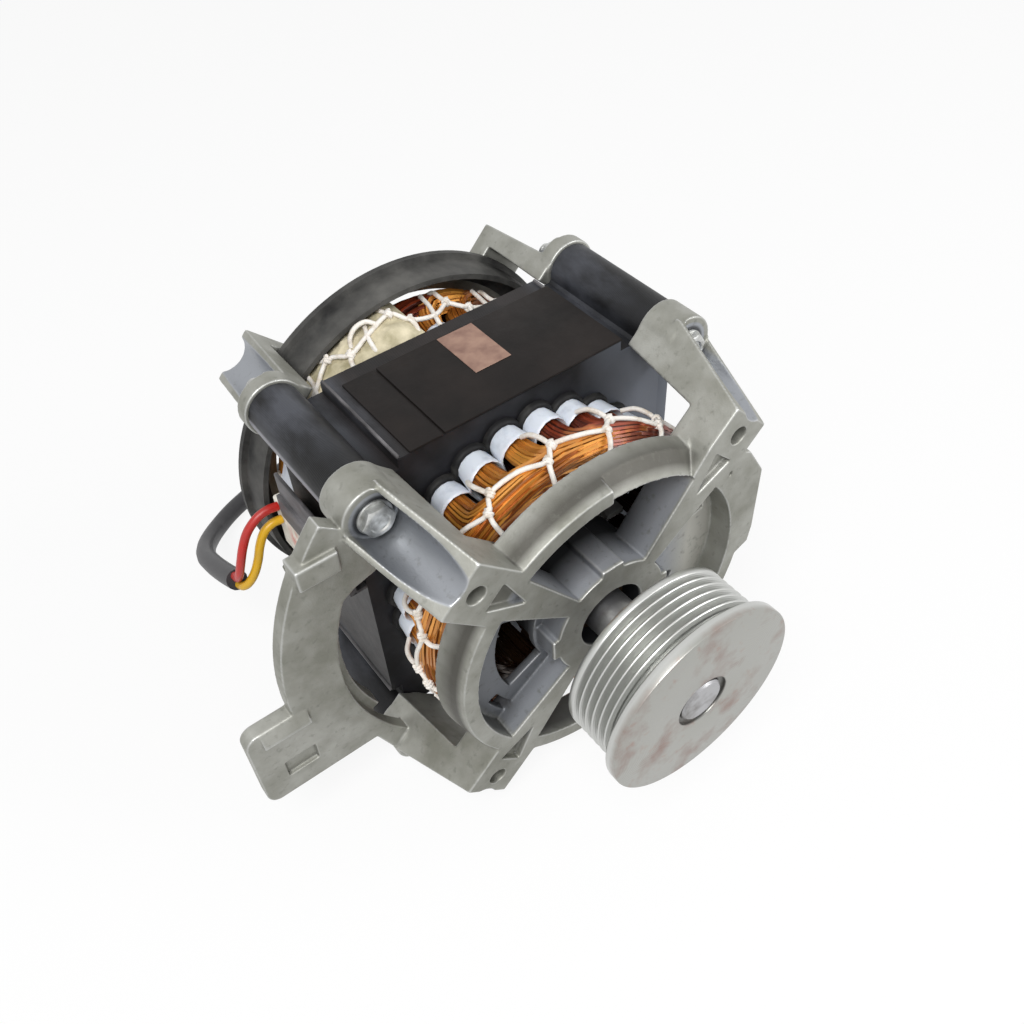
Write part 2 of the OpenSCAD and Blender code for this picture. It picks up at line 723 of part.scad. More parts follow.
sheath_route = [
    [-70, 86, -13], [-70.5, 97, -19.7], [-70.5, 110, -27.6], [-69.5, 122, -35.2], [-66, 134, -43],
    [-59, 145, -49.2], [-48, 154, -52.7], [-33, 160, sheath_z], [-16, 163, sheath_z], [1, 163, sheath_z],
    [18, 160, sheath_z], [34, 154, sheath_z], [48, 144.5, sheath_z], [59, 132, sheath_z],
    [66.5, 118, sheath_z], [69, 106, sheath_z], [69, 98, sheath_z]
];
wire_sides = 8;
sheath_sides = 10;
module red_lead() color("red") swept(red_route, wire_d / 2, wire_sides);
module yellow_lead() color("gold") swept(yellow_route, wire_d / 2, wire_sides);
module lead_sheath() color([0.2, 0.2, 0.22]) swept(sheath_route, sheath_d / 2, sheath_sides);
module lead_connector() color("white") {
    end = sheath_route[len(sheath_route) - 1];
    translate([end[0] - plug_w / 2, end[1] - plug_l - seat_clear, floor_z]) cube([plug_w, plug_l, plug_h]);
}

front_shield();
rear_shield();
rear_baffle();
stator_core();
slot_liners();
slot_cuffs();
stator_winding();
front_lacing();
rear_lacing();
rear_wrap();
thermal_protector();
top_cover();
blank_label();
through_bolts();
bolt_nuts();
front_bush();
front_felt();
front_retainer();
rear_bush();
rear_felt();
rear_retainer();
shaft();
rotor_core();
front_end_ring();
rear_end_ring();
front_thrust_washer();
rear_thrust_washer();
shaft_clips();
pulley();
lead_insulator();
red_lead();
yellow_lead();
lead_sheath();
lead_connector();
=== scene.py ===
import math
import random

import bmesh
import bpy
import numpy as np
from mathutils import Matrix, Quaternion, Vector, noise


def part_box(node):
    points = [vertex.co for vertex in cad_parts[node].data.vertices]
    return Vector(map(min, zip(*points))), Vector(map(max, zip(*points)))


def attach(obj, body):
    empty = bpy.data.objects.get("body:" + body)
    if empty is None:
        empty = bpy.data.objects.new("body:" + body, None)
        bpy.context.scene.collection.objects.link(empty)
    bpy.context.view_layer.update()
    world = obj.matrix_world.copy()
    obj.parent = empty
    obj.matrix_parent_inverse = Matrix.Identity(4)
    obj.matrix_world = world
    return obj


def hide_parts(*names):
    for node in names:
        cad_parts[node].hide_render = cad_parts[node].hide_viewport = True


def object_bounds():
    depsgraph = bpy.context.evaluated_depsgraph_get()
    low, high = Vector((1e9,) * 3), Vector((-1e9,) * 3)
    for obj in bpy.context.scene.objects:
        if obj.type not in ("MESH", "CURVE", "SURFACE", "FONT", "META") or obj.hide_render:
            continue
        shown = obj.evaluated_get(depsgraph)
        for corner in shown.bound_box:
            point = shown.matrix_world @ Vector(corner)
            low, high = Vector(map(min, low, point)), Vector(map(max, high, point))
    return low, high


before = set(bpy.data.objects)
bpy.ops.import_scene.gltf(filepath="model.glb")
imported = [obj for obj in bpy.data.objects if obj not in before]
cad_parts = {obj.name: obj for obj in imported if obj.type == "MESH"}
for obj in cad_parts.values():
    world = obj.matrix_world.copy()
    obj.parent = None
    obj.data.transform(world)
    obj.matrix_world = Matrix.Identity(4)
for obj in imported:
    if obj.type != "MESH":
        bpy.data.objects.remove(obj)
cad_low, cad_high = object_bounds()
mm = 0.001

# Camera: it stands to the left of the pulley and well above it, close enough for strong
# perspective, and is rolled by a few degrees.
camera_place = Vector((-108.33, -117.51, 210.68)) * mm
camera_look = Vector((0.38181, 0.56729, -0.72966))
camera_roll = math.radians(-4.02)
camera_focal_px = 1000
image_px = 1024
sensor_mm = 36


def in_scene(name, data):
    """A new object of the scene."""
    made = bpy.data.objects.new(name, data)
    bpy.context.scene.collection.objects.link(made)
    return made


camera = in_scene("camera", bpy.data.cameras.new("camera"))
camera.data.sensor_width = sensor_mm
camera.data.lens = sensor_mm * camera_focal_px / image_px
camera.data.clip_start = 5 * mm
camera.location = camera_place
camera.rotation_mode = "QUATERNION"
camera.rotation_quaternion = camera_look.to_track_quat("-Z", "Y") @ Quaternion((0, 0, 1), camera_roll)
bpy.context.scene.camera = camera

# Supply lead: a PVC sheath that drops from the stack's left side to the floor and lies behind
# the motor. Its two wires leave the insulating sleeve singly and meet at the sheath's mouth.
sheath_d = 6.4 * mm
wire_d = 2.6 * mm
cord_sides = 14
route_steps = 6
floor_z = cad_low.z
sheath_z = floor_z / mm + sheath_d / mm / 2
red_route = [
    (-53.5, 80, 12.3), (-57, 80, 12.7), (-60.5, 80, 11.6), (-64, 80, 8.5), (-66.5, 80, 4),
    (-68.3, 80.3, -1), (-69.5, 81.4, -6), (-70, 83.7, -10), (-70, 86.6, -11.75),
]
yellow_route = [
    (-53.5, 80, 7), (-56.5, 80, 7.2), (-59.5, 80, 5.5), (-61.8, 80, 1.5), (-63.5, 80, -3),
    (-65.7, 80, -7.3), (-68, 80.6, -10.6), (-69.6, 82.2, -12.6), (-70, 85.1, -14.3),
]
sheath_route = [
    (-70, 86, -13), (-70.5, 97, -19.7), (-70.5, 110, -27.6), (-69.5, 122, -35.2), (-66, 134, -43),
    (-59, 145, -49.2), (-48, 154, -52.7), (-33, 160, sheath_z), (-16, 163, sheath_z), (1, 163, sheath_z),
    (18, 160, sheath_z), (34, 154, sheath_z), (48, 144.5, sheath_z), (59, 132, sheath_z),
    (66.5, 118, sheath_z), (69, 106, sheath_z), (69, 98, sheath_z),
]


class Value:
    """A socket of a finish's node tree. Arithmetic on it adds Math nodes."""

    def __init__(self, finish, socket):
        self.finish = finish
        self.socket = socket

    def maths(self, operation, first, second):
        return self.finish.node("ShaderNodeMath", {"operation": operation}, {0: first, 1: second})

    def __add__(self, other):
        return self.maths("ADD", self, other)

    def __sub__(self, other):
        return self.maths("SUBTRACT", self, other)

    def __rsub__(self, other):
        return self.maths("SUBTRACT", other, self)

    def __mul__(self, other):
        return self.maths("MULTIPLY", self, other)

    def __pow__(self, other):
        return self.maths("POWER", self, other)

    def sine(self):
        return self.maths("SINE", self, 0)

    def __abs__(self):
        return self.maths("ABSOLUTE", self, 0)

    __radd__ = __add__
    __rmul__ = __mul__


class Finish:
    """A procedural material: a Principled surface and the nodes that feed it."""

    def __init__(self, name, **uniform):
        self.material = bpy.data.materials.new(name)
        self.material.use_nodes = True
        self.tree = self.material.node_tree
        self.surface = self.tree.nodes["Principled BSDF"]
        self.feed(**uniform)

    def node(self, kind, settings=None, sockets=None, output=0):
        made = self.tree.nodes.new(kind)
        for key, value in (settings or {}).items():
            setattr(made, key, value)
        for key, value in (sockets or {}).items():
            self.set(made.inputs[key], value)
        return Value(self, made.outputs[output])

    def set(self, socket, value):
        if isinstance(value, Value):
            self.tree.links.new(value.socket, socket)
        elif socket.type == "RGBA":
            socket.default_value = (*value, 1)
        else:
            socket.default_value = value

    def feed(self, **links):
        for socket, value in links.items():
            self.set(self.surface.inputs[socket.replace("_", " ")], value)

    def place(self, stretch=(1, 1, 1)):
        at = self.node("ShaderNodeTexCoord", output="Object")
        return self.node("ShaderNodeMapping", {}, {"Vector": at, "Scale": stretch})

    def axes(self):
        """The three coordinates of the shaded point in metres."""
        split = self.tree.nodes.new("ShaderNodeSeparateXYZ")
        self.set(split.inputs[0], self.place())
        return [Value(self, socket) for socket in split.outputs]

    def cloud(self, size, detail=3, stretch=(1, 1, 1), roughness=0.55):
        """Noise from 0 to 1 with features of about the given size in metres."""
        sockets = {"Vector": self.place(stretch), "Scale": 1 / size, "Detail": detail, "Roughness": roughness}
        return self.node("ShaderNodeTexNoise", {}, sockets)

    def band(self, value, low, high):
        """0 below low, 1 above high and a straight slope between."""
        return self.node(
            "ShaderNodeMapRange", {"clamp": True}, {"Value": value, "From Min": low, "From Max": high}
        )

    def mix(self, share, first, second):
        return self.node(
            "ShaderNodeMix", {"data_type": "RGBA"}, {"Factor": share, "A": first, "B": second}, "Result"
        )

    def attribute(self, name):
        return self.node("ShaderNodeAttribute", {"attribute_name": name}, output="Fac")

    def relief(self, height, depth):
        return self.node("ShaderNodeBump", {}, {"Height": height, "Distance": depth, "Strength": 1})


def tone(red, green, blue):
    """A colour as it reads on screen, from 0 to 255, in the linear values that a shader takes."""
    return tuple(((c / 255 + 0.055) / 1.055) ** 2.4 for c in (red, green, blue))


def mottled(name, spot, detail, light, dark, patches=(0, 1), rough=None, grain=None, **uniform):
    """A finish of two tones in patches. rough is the least roughness and what the dark patches add,
    grain the size and detail of the relief, its stretch if it has one, and its depth."""
    finish = Finish(name, **uniform)
    cloud = finish.cloud(spot, detail)
    finish.feed(Base_Color=finish.mix(finish.band(cloud, *patches), light, dark))
    if rough:
        finish.feed(Roughness=rough[0] + rough[1] * cloud)
    if grain:
        *spread, depth = grain
        finish.feed(Normal=finish.relief(finish.cloud(*spread), depth))
    return finish


def smooth_line(points, steps):
    """Points on one smooth curve through the given ones, which are in millimetres."""
    line = [Vector(p) * mm for p in points]
    ends = [line[0] * 2 - line[1]] + line + [line[-1] * 2 - line[-2]]
    curve = []
    for before, start, end, after in zip(ends, ends[1:], ends[2:], ends[3:]):
        for step in range(steps):
            t = step / steps
            curve.append(
                (start * 2 + (end - before) * t + (before * 2 - start * 5 + end * 4 - after) * t**2
                 + (start * 3 - before - end * 3 + after) * t**3) / 2
            )
    return curve + [line[-1]]


def line_length(line):
    return sum((b - a).length for a, b in zip(line, line[1:]))


def cord_curve(name, lines, diameter, sides):
    """A curve object of one round cord along each line of (point, swell) pairs."""
    data = bpy.data.curves.new(name, "CURVE")
    data.dimensions = "3D"
    data.bevel_depth = diameter / 2
    data.bevel_resolution = sides // 2 - 2
    data.use_fill_caps = True
    for line in lines:
        spline = data.splines.new("POLY")
        spline.points.add(len(line) - 1)
        for point, (place, swell) in zip(spline.points, line):
            point.co = (*place, 1)
            point.radius = swell
    return in_scene(name, data)


def round_cord(name, line, diameter, finish, node, slot):
    """A cord along a line, in place of a CAD node."""
    piece = cord_curve(name, [[(place, 1) for place in line]], diameter, cord_sides)
    piece.data.materials.append(finish.material)
    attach(piece, "stator")
    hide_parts(node)
    return piece


def flexible_plastic(name, colour, roughness):
    dusty = [c * 0.73 + 0.03 for c in colour]
    return mottled(
        name, 7 * mm, 5, colour, dusty, (0.5, 0.8), (roughness - 0.1, 0.2), (0.6 * mm, 2, 0.02 * mm),
        Coat_Weight=0.1,
    )


for colour, route, shade in (
    ("red", red_route, tone(180, 28, 18)),
    ("yellow", yellow_route, tone(206, 160, 18)),
):
    line = smooth_line(route, route_steps)
    pvc = flexible_plastic(colour + "_pvc", shade, 0.4)
    wire = round_cord(colour + "_wire", line, wire_d, pvc, colour + "_lead", colour + "_insulation")
    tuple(line[0])
    line_length(line)
sheath_line = smooth_line(sheath_route, route_steps)
dark_pvc = flexible_plastic("dark_pvc", tone(38, 37, 40), 0.55)
sheath = round_cord("sheath_tube", sheath_line, sheath_d, dark_pvc, "lead_sheath", "grey_sheath")

# Connector on the lead's end: a moulded nylon housing with a latch and two ribs on top, pushed
# on crimped terminals.
plug_low, plug_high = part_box("lead_connector")
plug_mid = (plug_low + plug_high) / 2
latch_half = Vector((3.2, 7.5, 0)) * mm
latch_h = 2.6 * mm
latch_foot = plug_high.z - 2.7 * mm
rib_w = 1.2 * mm
rib_off = 7.5 * mm
rib_inset = 2 * mm
rib_drop = mm


def box_between(bm, low, high, ease=0.0, segments=2):
    """A box between two corners with eased edges."""
    made = bmesh.ops.create_cube(bm, size=1)["verts"]
    bmesh.ops.scale(bm, vec=Vector(high) - Vector(low), verts=made)
    bmesh.ops.translate(bm, vec=(Vector(low) + Vector(high)) / 2, verts=made)
    if ease:
        edges = list({e for v in made for e in v.link_edges})
        bmesh.ops.bevel(
            bm, geom=edges, offset=ease, segments=segments, profile=0.5, affect="EDGES", material=-1
        )


def new_piece(name, bm, finish, replaced=(), body="stator", crease=35):
    """A mesh piece that rides on a body, shaded smooth up to the crease angle."""
    mesh = bpy.data.meshes.new(name)
    bm.to_mesh(mesh)
    bm.free()
    mesh.polygons.foreach_set("use_smooth", [True] * len(mesh.polygons))
    mesh.set_sharp_from_angle(angle=math.radians(crease))
    mesh.materials.append(finish.material)
    piece = in_scene(name, mesh)
    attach(piece, body)
    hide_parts(*replaced)
    return piece


bm = bmesh.new()
box_between(bm, plug_low, plug_high - Vector((0, 0, latch_h)), ease=0.7 * mm)
box_between(
    bm, (plug_mid.x - latch_half.x, plug_mid.y - latch_half.y, latch_foot),
    (plug_mid.x + latch_half.x, plug_mid.y + latch_half.y, plug_high.z), ease=0.5 * mm,
)
for side in (-1, 1):
    rib_x = plug_mid.x + side * rib_off
    box_between(
        bm, (rib_x - rib_w / 2, plug_low.y + rib_inset, latch_foot),
        (rib_x + rib_w / 2, plug_high.y - rib_inset, plug_high.z - rib_drop), ease=0.3 * mm,
    )
nylon = mottled(
    "aged_nylon", 9 * mm, 3, tone(224, 221, 212), tone(206, 200, 182), grain=(0.4 * mm, 3, 0.01 * mm),
    Roughness=0.45, Subsurface_Weight=0.05,
)
connector = new_piece("connector_housing", bm, nylon, ["lead_connector"])
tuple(sheath_line[0])
line_length(sheath_line)

# Stator stack: punched steel sheets pressed into a block with four round corner lobes for the
# bolts. The block is dipped in black varnish, which pools on the lobes. Its front face is painted
# lighter and bluish towards the right, a painted light.
core_low, core_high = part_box("stator_core")
sheet_pitch = 0.5 * mm
varnish = Finish("black_varnish", Specular_IOR_Level=0.25, Coat_Weight=0.06, Coat_Roughness=0.3)
band, mix = varnish.band, varnish.mix
x, y, z = varnish.axes()
lobe = band((x * x + z * z) ** 0.5, 57 * mm, 60 * mm)
end_face = 1 - band(y, core_low.y + 0.05 * mm, core_low.y + 0.3 * mm)
left_edge = band(-1 * x, 50.5 * mm, 51 * mm)
# The lower flank of the upper left lobe is painted light grey: partly rubbed varnish, partly a painted
# highlight.
lip = left_edge * (1 - band(z, 48 * mm, 49 * mm)) * band(z, 0, mm)
pool = band(varnish.cloud(9 * mm, 4, (1, 0.45, 1)), 0.4, 0.66)
sheet_lines = (y * (2 * math.pi / sheet_pitch)).sine()
flat_tone = mix(pool, tone(20, 17, 17), tone(38, 33, 32))
near_front = 1 - band(y, core_low.y + 4 * mm, core_low.y + 22 * mm)
pooled_lobe = mix(pool, tone(18, 18, 20), tone(68, 70, 76))
lobe_tone = mix(near_front * 0.85, pooled_lobe, tone(10, 10, 11))
# The front face is painted lighter and bluish towards the right: painted light.
lit_right_face = band(x, 20 * mm, 42 * mm)
pooled_face = mix(pool, tone(12, 12, 14), tone(28, 28, 32))
face_tone = mix(lit_right_face, pooled_face, tone(92, 97, 106))
side_tone = mix(lip, mix(lobe, flat_tone, lobe_tone), tone(128, 128, 134))
varnish.feed(
    Base_Color=mix(end_face, side_tone, face_tone),
    Roughness=0.4 + 0.2 * varnish.cloud(5 * mm, 4),
    Normal=varnish.relief(sheet_lines * 0.4 + varnish.cloud(1.5 * mm), 0.03 * mm),
)


def finish_node(finish, *nodes):
    """Gives CAD nodes that stay in view their material."""
    for node in nodes:
        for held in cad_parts[node].material_slots:
            held.material = finish.material


finish_node(varnish, "stator_core")

# Trim of the stack: strips of board along both edges of each flat face, rubbed grey, and a slip
# under the lower face. A folded board stands off the left face in front of a dark channel, and a
# pad thickens the right face. All of it is glued down and varnished over.
face_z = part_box("top_cover")[0].z
flat_half = 34.6 * mm
strip_w = 0.8 * mm
strip_h = 0.7 * mm
sunk = 0.4 * mm
end_inset = 0.3 * mm
slip_from, slip_to = 21.6 * mm, 31 * mm
slip_h = 0.35 * mm
slip_short = 5.6 * mm
fold_low, fold_step, fold_high = 12.8 * mm, 20.9 * mm, 28.4 * mm
fold_stand = 4 * mm
fold_t = 1.1 * mm
pad_stand = 4 * mm
rubbed = Finish("rubbed_varnish", Specular_IOR_Level=0.3)
rubbed_wear = rubbed.band(rubbed.cloud(5 * mm, 5, (1, 0.3, 1)), 0.35, 0.7)
rubbed.feed(
    Base_Color=rubbed.mix(rubbed_wear, tone(44, 43, 44), tone(116, 114, 116)),
    Roughness=0.5 + 0.2 * rubbed_wear,
    Normal=rubbed.relief(rubbed.cloud(0.7 * mm, 3, (1, 0.3, 1)), 0.04 * mm),
)
bm = bmesh.new()
for turn in range(4):
    start = len(bm.verts)
    for side in (-1, 1):
        outer = side * flat_half
        inner = side * (flat_half - strip_w)
        box_between(
            bm, (min(outer, inner), core_low.y + end_inset, face_z - sunk),
            (max(outer, inner), core_high.y - end_inset, face_z + strip_h), ease=0.2 * mm,
        )
    bm.verts.ensure_lookup_table()
    bmesh.ops.rotate(
        bm, cent=(0, 0, 0), matrix=Matrix.Rotation(turn * math.pi / 2, 3, "Y"), verts=bm.verts[start:]
    )
new_piece("stack_trim", bm, rubbed)
wall_x = -face_z - fold_stand
bm = bmesh.new()
for low, high in (
    ((wall_x, core_low.y, fold_low), (wall_x + fold_t, core_high.y, fold_high)),
    ((wall_x - fold_t, core_low.y, fold_low), (wall_x + fold_t / 2, core_high.y, fold_step)),
    ((wall_x, core_low.y, fold_low), (-face_z + sunk, core_high.y, fold_low + fold_t)),
):
    box_between(bm, low, high, ease=0.3 * mm)
box_between(
    bm, (slip_from, core_low.y + end_inset, -face_z - slip_h),
    (slip_to, core_high.y - slip_short, -face_z + sunk), ease=0.15 * mm,
)
new_piece("folded_board", bm, rubbed)
bm = bmesh.new()
box_between(
    bm, (face_z - sunk, core_low.y, -flat_half), (face_z + pad_stand, core_high.y, flat_half), ease=0.4 * mm
)
new_piece("side_pad", bm, varnish)

# Slot liners and cuffs: each slot is lined with dark film, and a white film folded double makes
# a hood round the wires at both ends of the slot, over a black moulded collar. The cut-out and
# the ring behind the coil end are moulded in black plastic too.
slot_count = 24
slot_step = 2 * math.pi / slot_count
slot_foot = 32.4
slot_end = 39.4
slot_half = 2.85
slot_end_r = 3.6
slot_path_steps = 18
# A fold is a reach from the stack's end and a growth over the slot's outline, in millimetres
hood_folds = [
    (-1, 0.4), (0.6, 0.8), (2.6, 1.15), (5, 1.45), (6.6, 1.65), (7.4, 1.75), (7.7, 1.5), (7.4, 1.1),
    (5.6, 0.7), (3, 0.4), (0, 0.2),
]
collar_folds = [(-0.4, 2.3), (0.8, 2.3), (1.5, 2.1), (1.8, 1.6), (1.7, 1.1), (0, 0.6)]


def polar(radius, angle, at_y=0):
    """A point by its distance from the shaft's axis, its angle and its place along it."""
    return Vector((radius * math.cos(angle), at_y, radius * math.sin(angle)))


def sheet(bm, along, across, place):
    """A grid of quads whose points go to place(u, v), with u and v from 0 to 1."""
    made = bmesh.ops.create_grid(bm, x_segments=along, y_segments=across, size=1)["verts"]
    for vert in made:
        vert.co = place((vert.co.x + 1) / 2, (vert.co.y + 1) / 2)
    return made


def face_outward(bm):
    bmesh.ops.recalc_face_normals(bm, faces=bm.faces)


def slot_path(u, grow):
    """A point on a slot's outline, from the foot round the outer end and back, grown by so much."""
    if 0.3 <= u <= 0.7:
        turn = (u - 0.5) / 0.4 * math.pi
        return slot_end + (slot_end_r + grow) * math.cos(turn), (slot_end_r + grow) * math.sin(turn)
    side = -1 if u < 0.5 else 1
    climb = min(u, 1 - u) / 0.3
    half = slot_half + (slot_end_r - slot_half) * climb + grow
    return slot_foot + (slot_end - slot_foot) * climb, side * half


def slot_hoods(folds, waviness, seed):
    """One folded band round each slot, at both ends of the stack."""
    bm = bmesh.new()
    for slot in range(slot_count):
        out = polar(1, (slot + 0.5) * slot_step)
        across = Vector((-out.z, 0, out.x))
        for from_y, way in ((core_low.y, -1), (core_high.y, 1)):
            shift = Vector((slot * 3.7 + seed, way * 5.1, 0))

            def place(u, v):
                step = v * (len(folds) - 1)
                low = min(int(step + 1e-6), len(folds) - 2)
                reach, grow = (a + (b - a) * (step - low) for a, b in zip(folds[low], folds[low + 1]))
                wave = noise.noise(shift + Vector((u * 4, 0, 0))) * waviness * max(0, reach) / 7
                r, s = slot_path(u, grow + wave * 0.6)
                return (out * r + across * s) * mm + Vector((0, from_y + way * (reach + wave) * mm, 0))

            sheet(bm, slot_path_steps, len(folds) - 1, place)
    face_outward(bm)
    return bm


film = mottled(
    "white_film", 4 * mm, 4, tone(222, 226, 234), tone(188, 192, 202), (0.5, 0.8), (0.36, 0.2),
    (1.2 * mm, 3, 0.05 * mm), Subsurface_Weight=0.08, Coat_Weight=0.2,
)
new_piece("film_cuffs", slot_hoods(hood_folds, 1.1, 2), film, ["slot_cuffs"], crease=60)
black_plastic = mottled(
    "black_plastic", 6 * mm, 5, tone(18, 18, 19), tone(58, 57, 54), (0.5, 0.85), (0.5, 0.25),
    (0.8 * mm, 3, 0.02 * mm), Specular_IOR_Level=0.25,
)
dusty_plastic = mottled(
    "dusty_plastic", 14 * mm, 5, tone(30, 30, 30), tone(92, 91, 88), (0.35, 0.7), (0.5, 0.25),
    (0.8 * mm, 3, 0.02 * mm), Specular_IOR_Level=0.3,
)
new_piece("slot_collars", slot_hoods(collar_folds, 0.3, 9), black_plastic, crease=60)
finish_node(black_plastic, "slot_liners", "thermal_protector")
finish_node(dusty_plastic, "rear_baffle")

# Stator winding: coils of enamelled copper wire, each with one side in the outer half of a slot
# and the other in the inner half of another. The end turns are bent over, pressed and varnished.
# They are painted dark towards the bore, a painted shade, and in bright tones on the left side, a
# painted light. Sizes are in millimetres.
wind_low, wind_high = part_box("stator_winding")
stack_front = core_low.y / mm
stack_rear = core_high.y / mm
layer_in, layer_out = 34.15, 40.1
end_in, end_out = 36.2, 44.4
front_span, rear_span = 5, 4
coil_tube = 2.4
coil_exit = 5
tail_near, tail_far = 4, 9
front_crown = stack_front - wind_low.y / mm - coil_tube
rear_crown = wind_high.y / mm - stack_rear - coil_tube
wire_thick = 0.95
core_swell = 2 * coil_tube / wire_thick
wires = 24
front_steps, rear_steps = 24, 22
wire_sides = 5
bundle_side = 3.2
finger_swell = 1
crown_side = 2.5
bundle_up = 2.4
up_swell = 0.75
bundle_rise = 4
bundle_lag = 0.96


def ease(t):
    t = min(1, max(0, t))
    return t * t * (3 - 2 * t)


def turn_radius(t, start, start_end, finish_end, finish):
    """Distance of an end turn from the axis: out of one layer, over the crown and into the other."""
    middle = (start_end + finish_end) / 2
    if t < 0.5:
        here = start + (start_end - start) * ease(4 * t)
        return here + (middle - here) * ease((t - 0.4) / 0.1)
    here = finish + (finish_end - finish) * ease(4 * (1 - t))
    return here + (middle - here) * ease((0.6 - t) / 0.1)


def turn_point(coil, t, front):
    """A point on the middle line of an end turn, in millimetres."""
    rise = 1 - abs(2 * t - 1) ** bundle_rise
    swing = t - bundle_lag * math.sin(2 * math.pi * t) / (2 * math.pi)
    if front:
        radius = turn_radius(t, layer_out, end_out, end_in, layer_in)
        angle = (coil + rear_span - front_span * swing + 0.5) * slot_step
        at_y = stack_front - coil_exit - (front_crown - coil_exit) * rise
    else:
        radius = turn_radius(t, layer_in, end_in, end_out, layer_out)
        angle = (coil + rear_span * swing + 0.5) * slot_step
        at_y = stack_rear + coil_exit + (rear_crown - coil_exit) * rise
    return polar(radius, angle, at_y)


def coil_wires(front, steps, seed):
    """For each coil, one thick core, the wires on the skin of its end turn, and a shade of its own."""
    rng = random.Random(seed)
    inward = Vector((0, 1 if front else -1, 0))
    coils = []
    for coil in range(slot_count):
        shares = [i / steps for i in range(steps + 1)]
        path = [turn_point(coil, t, front) for t in shares]
        into_slot = [path[0] + inward * tail_far, path[0] + inward * tail_near]
        path = into_slot + path + [path[-1] + inward * tail_near, path[-1] + inward * tail_far]
        shares = [0, 0] + shares + [1, 1]
        frames = []
        for i, point in enumerate(path):
            ahead = (path[min(i + 1, len(path) - 1)] - path[max(i - 1, 0)]).normalized()
            across = ahead.cross(Vector((point.x, 0, point.z))).normalized()
            frames.append((point, across, across.cross(ahead).normalized()))
        lines = [[(point * mm, core_swell) for point in path]]
        twist = rng.uniform(-0.8, 0.8)
        for wire in range(wires):
            round_angle = 2 * math.pi * (wire + rng.uniform(-0.35, 0.35)) / wires
            depth = rng.uniform(0.9, 1.05)
            phase, sway = rng.random(), rng.uniform(0.1, 0.35)
            line = []
            for t, (point, across, up) in zip(shares, frames):
                turn = round_angle + twist * (t - 0.5)
                swell = math.sin(math.pi * t)
                crown = swell ** 4
                side = bundle_side + finger_swell * math.sqrt(swell)
                wide = (side + (crown_side - side) * crown) * math.cos(turn) * depth
                high = (bundle_up + up_swell * swell) * math.sin(turn) * depth
                wide += sway * math.sin(2 * math.pi * (1.3 * t + phase)) * swell
                line.append(((point + across * wide + up * high) * mm, 1))
            lines.append(line)
        coils.append((lines, rng.random()))
    return coils


def finished_mesh(piece):
    """A new mesh of a piece as its curve or modifiers leave it."""
    return bpy.data.meshes.new_from_object(piece.evaluated_get(bpy.context.evaluated_depsgraph_get()))


def cord_mesh(name, groups, diameter, sides, finish, replaced):
    """Round cords along many lines as one mesh piece, each group of lines with a shade of its own."""
    bm = bmesh.new()
    shade = bm.verts.layers.float.new("shade")
    for lines, share in groups:
        drawn = cord_curve(name + "_drawn", lines, diameter, sides)
        mesh = finished_mesh(drawn)
        bpy.data.objects.remove(drawn)
        known = len(bm.verts)
        bm.from_mesh(mesh)
        bpy.data.meshes.remove(mesh)
        bm.verts.ensure_lookup_table()
        for vert in bm.verts[known:]:
            vert[shade] = share
    return new_piece(name, bm, finish, replaced, crease=80)


copper = Finish("varnished_copper", Metallic=0.55, Coat_Weight=0.5, Coat_Roughness=0.18)
each_wire = copper.node("ShaderNodeNewGeometry", output="Random Per Island")
x, y, z = copper.axes()
# Coils on the left side are held to the bright tones: painted light.
lit_left_side = copper.band(-1 * x, 30 * mm, 38 * mm)
each_coil = copper.band(copper.attribute("shade") + (copper.cloud(9 * mm, 3) - 0.5) * 0.9, 0.3, 0.7)
each_coil = each_coil * (1 - lit_left_side * 0.85)
bright = copper.mix(each_wire ** 1.5, tone(230, 160, 68), tone(146, 78, 26))
dull = copper.mix(each_wire, tone(150, 62, 32), tone(46, 18, 13))
# Towards the bore the copper is painted near black: painted shade.
shaded = 1 - copper.band((x * x + z * z) ** 0.5, 38.5 * mm, 42 * mm)
copper.feed(
    Base_Color=copper.mix(shaded * 0.95, copper.mix(each_coil, bright, dull), tone(18, 8, 6)),
    Roughness=0.26 + 0.22 * copper.cloud(3 * mm),
    Normal=copper.relief(copper.cloud(0.7 * mm), 0.03 * mm),
)


def slot_run(radius, slot):
    """The straight run of a coil side through the stack."""
    angle = (slot + 0.5) * slot_step
    return [(polar(radius, angle, end) * mm, core_swell) for end in (stack_front, stack_rear)]


slot_runs = [slot_run(radius, slot) for radius in (layer_in, layer_out) for slot in range(slot_count)]
front_turns = coil_wires(True, front_steps, 5) + [(slot_runs, 0.5)]
rear_turns = coil_wires(False, rear_steps, 6)
for name, turns in (("front_coil", front_turns), ("rear_coil", rear_turns)):
    cord_mesh(name, turns, wire_thick * mm, wire_sides, copper, ["stator_winding"])

# Lacing: white cord tied round both coil ends by hand as a running net. Each cell has two knots,
# a tail over the crown into the bore and a tail back between two coils. Sizes are in millimetres,
# angles in degrees.
lace_d = 1.35
lace_r = 48
lace_sides = 8
cells = 16
cell_angle = 360 / cells
first_knot = 76
knot_steps = 8
knot_half = 0.8
knot_high, knot_wide = 0.85, 0.95
knot_swell = 0.8


def on_coil(angle, at_y, radius=lace_r):
    return polar(radius, math.radians(angle), at_y)


def knot(place, along, out):
    """Two turns of cord drawn tight round the running one."""
    across = along.cross(out).normalized()
    coils = []
    for step in range(2 * knot_steps + 1):
        turn = step / knot_steps * 2 * math.pi
        run = along * (step / knot_steps - 1) * knot_half
        shift = run + out * knot_high * math.cos(turn) + across * knot_wide * math.sin(turn)
        coils.append((place + shift * mm, knot_swell))
    return coils


